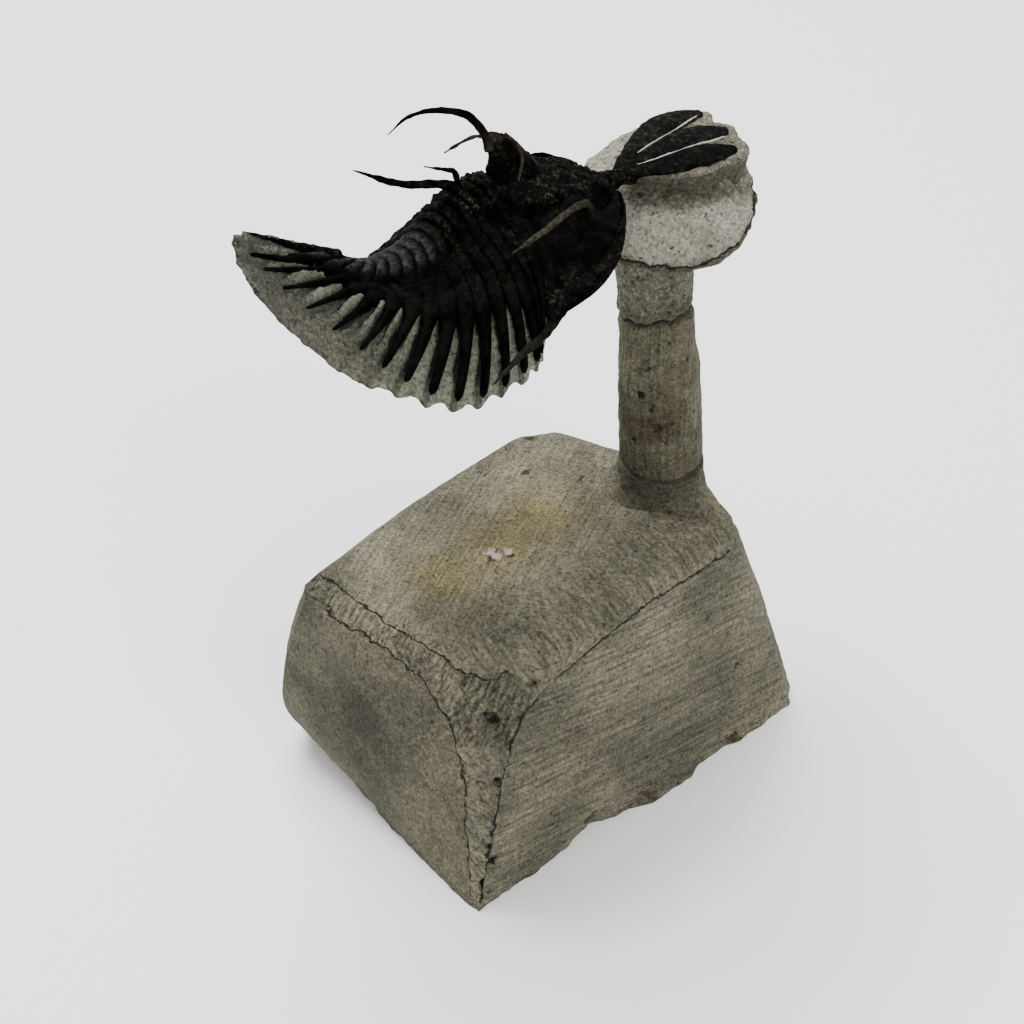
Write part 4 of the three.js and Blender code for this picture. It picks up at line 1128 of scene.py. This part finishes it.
# %% Column
GAP = 0.3
COLUMN_TOP = 55.6
COLUMN_RADIUS = 4.7
COLUMN_LEAN = (-0.074, -0.012)
SWELL = [(0, 1.0), (0.2, 1.0), (0.4, 1.0), (0.64, 0.945), (0.85, 0.88), (1, 0.86)]
COLUMN_PITS = [(15.3, 0.2, 45.1, 0.8), (15.7, -0.1, 42.4, 1.0), (13.9, 1.0, 46.7, 0.7),
               (17.9, 0.2, 42.9, 0.7), (16.5, 0.0, 38.5, 0.7), (13.5, 1.6, 39.5, 0.5),
               (18.5, 0.4, 48.0, 0.6), (14.7, 0.7, 50.5, 0.5), (17.1, 0.3, 51.6, 0.4)]


def post_centre(height):
    """The post's leaning middle line at each height."""
    return tuple(foot + lean * (height - FLARE_TOP) for foot, lean in zip(FOOT, COLUMN_LEAN))


def joint_height(turn):
    """The broken joint under the collar is higher in front and on the right than on the left and behind."""
    broken = 0.12 * np.sin(7 * turn) + 0.1 * np.sin(12 * turn)
    return COLUMN_TOP - 0.3 + 0.7 * np.cos(turn) - 0.9 * np.sin(turn) + broken


def column():
    """Hoops of a radius that follows the swell, with a slight three-sided round. The upper ones bend to the
    joint."""
    t = np.linspace(0, 1, 150)[:, None]
    turn = full_turn(170)[None]
    radius = COLUMN_RADIUS * along(SWELL, t) * (1 + 0.02 * np.sin(3 * turn + 4 * t))
    height = FLARE_TOP + GAP + (joint_height(turn) - FLARE_TOP - GAP) * t
    x, y = post_centre(height)
    rings = xyz(x + radius * np.cos(turn), y + radius * np.sin(turn), height)
    pits = np.maximum(spots(rings, COLUMN_PITS), 0.75 * knobs(rings, 1.9, 0.55, 6.6))
    edge = smooth(0.02, 0.0, t) + smooth(0.985, 1.0, t)
    relief = 0.14 * noise(rings, 4.0) + 0.09 * rough(rings, 1.0, 4)
    relief = relief - 0.3 * smooth(0.4, 0.8, pits) - 0.35 * edge
    belt = bell(height - 42.5, 5.5) * smooth(-1.0, 0.5, rough(rings, 3.0))
    return closed(pushed(rings, relief), pit=pits * 0.75, dark=np.clip(belt * 0.9, 0, 1), scraped=1.0)


new_piece("column_post", column(), COLUMN_STONE, "column")

# %% Column head
DISC_CENTRE = (15.95, 5.3)
DISC_TILT = 0.267
HEAD_PROFILE = [(COLUMN_TOP + GAP, 3.95, 0), (60.5, 4.15, 0), (64.2, 4.3, 0), (66.6, 5.8, 0.5),
                (68.4, 8.1, 0.95), (69.5, 9.15, 1), (70.3, 8.8, 1), (71.2, 6.8, 1), (72.0, 3.6, 1),
                (72.3, 0.3, 1)]
RIM_STEP = 0.652
PAD_CENTRE = (17.8, 8.4)
PAD_TOP = 74.4
PAD_OUTLINE = [(12.4, 3.9), (14.4, 3.3), (17.3, 3.2), (19.9, 4.0), (21.8, 5.1), (23.6, 5.9), (24.3, 7.4),
               (24.1, 8.9), (23.4, 10.2), (23.0, 11.8), (21.7, 12.4), (21.0, 12.7), (20.6, 14.4),
               (17.7, 13.7), (15.0, 12.9), (13.3, 11.2), (12.0, 8.5), (11.4, 6.0)]
PAD_LEVELS = [(69.8, 0.9), (71.0, 0.92), (72.4, 0.94), (73.6, 0.985), (74.1, 0.98), (74.3, 0.9), (74.35, 0.6),
              (74.4, 0.3), (74.4, 0.03)]


def collar_and_disc():
    """Hoops that follow the profile. The third number of a level says how far its hoop is the disc's, in its
    middle and its tilt, and not the post's. The lowest hoops bend to the joint. The disc is dark below its
    rim and where the pad shades it."""
    profile = route_through([(radius, share * 4, z) for z, radius, share in HEAD_PROFILE], 150)
    turn = full_turn(200)[None]
    share = np.clip(profile[:, 1, None] / 4, 0, 1)
    radius = profile[:, 0, None] * (1 + 0.012 * np.sin(5 * turn))
    height = profile[:, 2, None]
    x, y = post_centre(height)
    level = height + share * DISC_TILT * radius * np.sin(turn)
    level = level + (joint_height(turn) - COLUMN_TOP) * smooth(60, COLUMN_TOP, height)
    rings = xyz(x + (DISC_CENTRE[0] - x) * share + radius * np.cos(turn),
                y + (DISC_CENTRE[1] - y) * share + radius * np.sin(turn), level)
    step = np.linspace(0, 1, len(profile))[:, None]
    runs = np.linalg.norm(np.diff(profile[:, [0, 2]], axis=0), axis=1)
    length = np.concatenate([[0], np.cumsum(runs)])[:, None]
    rim = length - np.interp(RIM_STEP, step[:, 0], length[:, 0]) + 0.35 * rough(rings, 2.5)
    holes = knobs(rings, 1.9, 0.5, 9.1) * smooth(-0.2, 0.5, noise(rings, 3.0, 4.4))
    top = smooth(-0.1, 0.1, rim)
    groove = bell(rim, 0.25) * smooth(0.4, 0.1, np.sin(turn))
    relief = 0.2 * noise(rings, 3.5) + 0.22 * rough(rings, 1.1, 4) - 0.25 * groove - 0.25 * holes
    relief = relief - 0.3 * smooth(0.02, 0.0, step)
    foot = near_line(rings, [(x, y, 71.2) for x, y in [*PAD_OUTLINE, PAD_OUTLINE[0]]])
    shade = 0.75 * smooth(2.6, 0.8, foot + 0.4 * noise(rings, 2.0)) * smooth(0.3, -0.2, np.sin(turn))
    band_below = smooth(-1.6, -0.3, rim) * (1 - top) * smooth(0.6, 0.0, np.sin(turn))
    dark = np.clip(0.82 * (1 - top) + 0.4 * band_below + shade * top + 0.5 * smooth(0.08, 0.0, step), 0, 1)
    return closed(pushed(rings, relief), pit=0.6 * holes, dark=dark, rim_line=rim * np.ones_like(turn))


def pad():
    """The pad's outline, smoothed, and scaled about its middle level by level."""
    outline = route_through([(x, y, 0) for x, y in [*PAD_OUTLINE, PAD_OUTLINE[0]]], 241)[:-1]
    middle = np.array([*PAD_CENTRE, 0])
    levels = route_through([(scale * 8, 0, z) for z, scale in PAD_LEVELS], 80)
    size, height = levels[:, 0, None, None] / 8, levels[:, 2, None, None]
    rings = middle + (outline - middle)[None] * size + np.array([0, 0, 1]) * height
    side = smooth(74.0, 73.6, rings[..., 2])
    under_fork = np.min([near_line(rings, [(x, y, PAD_TOP) for x, y in route]) for route in TINES], axis=0)
    shaded = smooth(2.3, 1.9, under_fork + 0.3 * noise(rings, 1.2))
    relief = 0.16 * rough(rings, 1.6) + 0.1 * rough(rings, 0.6) + 0.15 * side * noise(rings, 2.5, 3.3)
    # Painted shade: the dark mask darkens the pad's side wall, and its top under the tines.
    return closed(pushed(rings, relief), dark=np.maximum(0.9 * side, 0.62 * shaded), rim_line=3.0)


VEINS = [
    [(12.3, 5.5, 74.75), (13.4, 6.7, 74.9), (14.8, 8.2, 74.85), (17.0, 10.5, 74.75), (18.9, 12.6, 74.7),
     (19.8, 13.5, 74.5)],
    [(12.4, 3.9, 74.8), (14.3, 4.75, 74.9), (16.8, 6.35, 74.85), (18.6, 7.45, 74.8), (20.4, 8.3, 74.7),
     (21.8, 9.3, 74.6)],
]
veins = [tube(route, [0.02, 0.055, 0.03, 0.065, 0.02], flat=1.9, around=10, steps=70, crumb=0.04,
              white=[1, 1], rim_line=[3, 3]) for route in VEINS]
new_piece("column_head_stone", joined([collar_and_disc(), pad(), *veins]), PALE_STONE, "column_head")


# %% [markdown]
# ## Floor, light and camera
# A plain pale floor and soft light keep the eye on the piece. One large lamp above and behind the left
# shoulder gives the upper edges their light, as in a small photo tent, and the pale world fills the rest.
# The camera is set where the photograph was taken from: 44 degrees down, through a long lens, so that near
# and far keep their sizes.

# %% Studio
FLOOR_REACH = 3.0
LAMPS = {"key": ((-0.12, 0.16, 0.55), 0.3, 6), "fill": ((0.35, -0.45, 0.4), 0.5, 3.5)}
WORLD_STRENGTH = 0.9
CAMERA_PITCH = np.radians(44)
CAMERA_DISTANCE = 250
TARGET = np.array([0, 0, 30.0])
FOCAL_PIXELS = 2200
FRAME_PIXELS = 1024
SENSOR = 36


def plain_floor():
    """A wide floor under the block."""
    mesh = bpy.data.meshes.new("floor")
    corners = [(x * FLOOR_REACH, y * FLOOR_REACH, 0) for x, y in ((-1, -1), (1, -1), (1, 1), (-1, 1))]
    mesh.from_pydata(corners, [], [(0, 1, 2, 3)])
    material, _, shader, _ = new_material("plain_floor")
    shader.inputs["Base Color"].default_value = (0.9, 0.9, 0.9, 1)
    shader.inputs["Roughness"].default_value = 0.9
    mesh.materials.append(material)
    new_object("floor", mesh)


def lamp(name, place, size, power):
    """A square area lamp that looks at the fossil."""
    data = bpy.data.lights.new(name, "AREA")
    data.size = size
    data.energy = power
    made = new_object(name, data)
    aim = np.array([0, 0, 0.06]) - np.array(place)
    made.location = place
    made.rotation_euler = Vector(aim).to_track_quat("-Z", "Y").to_euler()


def camera():
    """The photograph's place and lens."""
    data = bpy.data.cameras.new("camera")
    data.sensor_width = SENSOR
    data.lens = FOCAL_PIXELS / FRAME_PIXELS * SENSOR
    data.clip_start = 0.01
    made = new_object("camera", data)
    back = np.array([0, -np.cos(CAMERA_PITCH), np.sin(CAMERA_PITCH)]) * CAMERA_DISTANCE
    made.location = (TARGET + back) * MM
    made.rotation_euler = (np.pi / 2 - CAMERA_PITCH, 0, 0)
    bpy.context.scene.camera = made


plain_floor()
for name, (place, size, power) in LAMPS.items():
    lamp(name, place, size, power)
world = bpy.data.worlds.new("studio")
bpy.context.scene.world = world
world.use_nodes = True
set_socket(world.node_tree, world.node_tree.nodes["Background"].inputs["Color"], (1, 1, 1))
set_socket(world.node_tree, world.node_tree.nodes["Background"].inputs["Strength"], WORLD_STRENGTH)
camera()
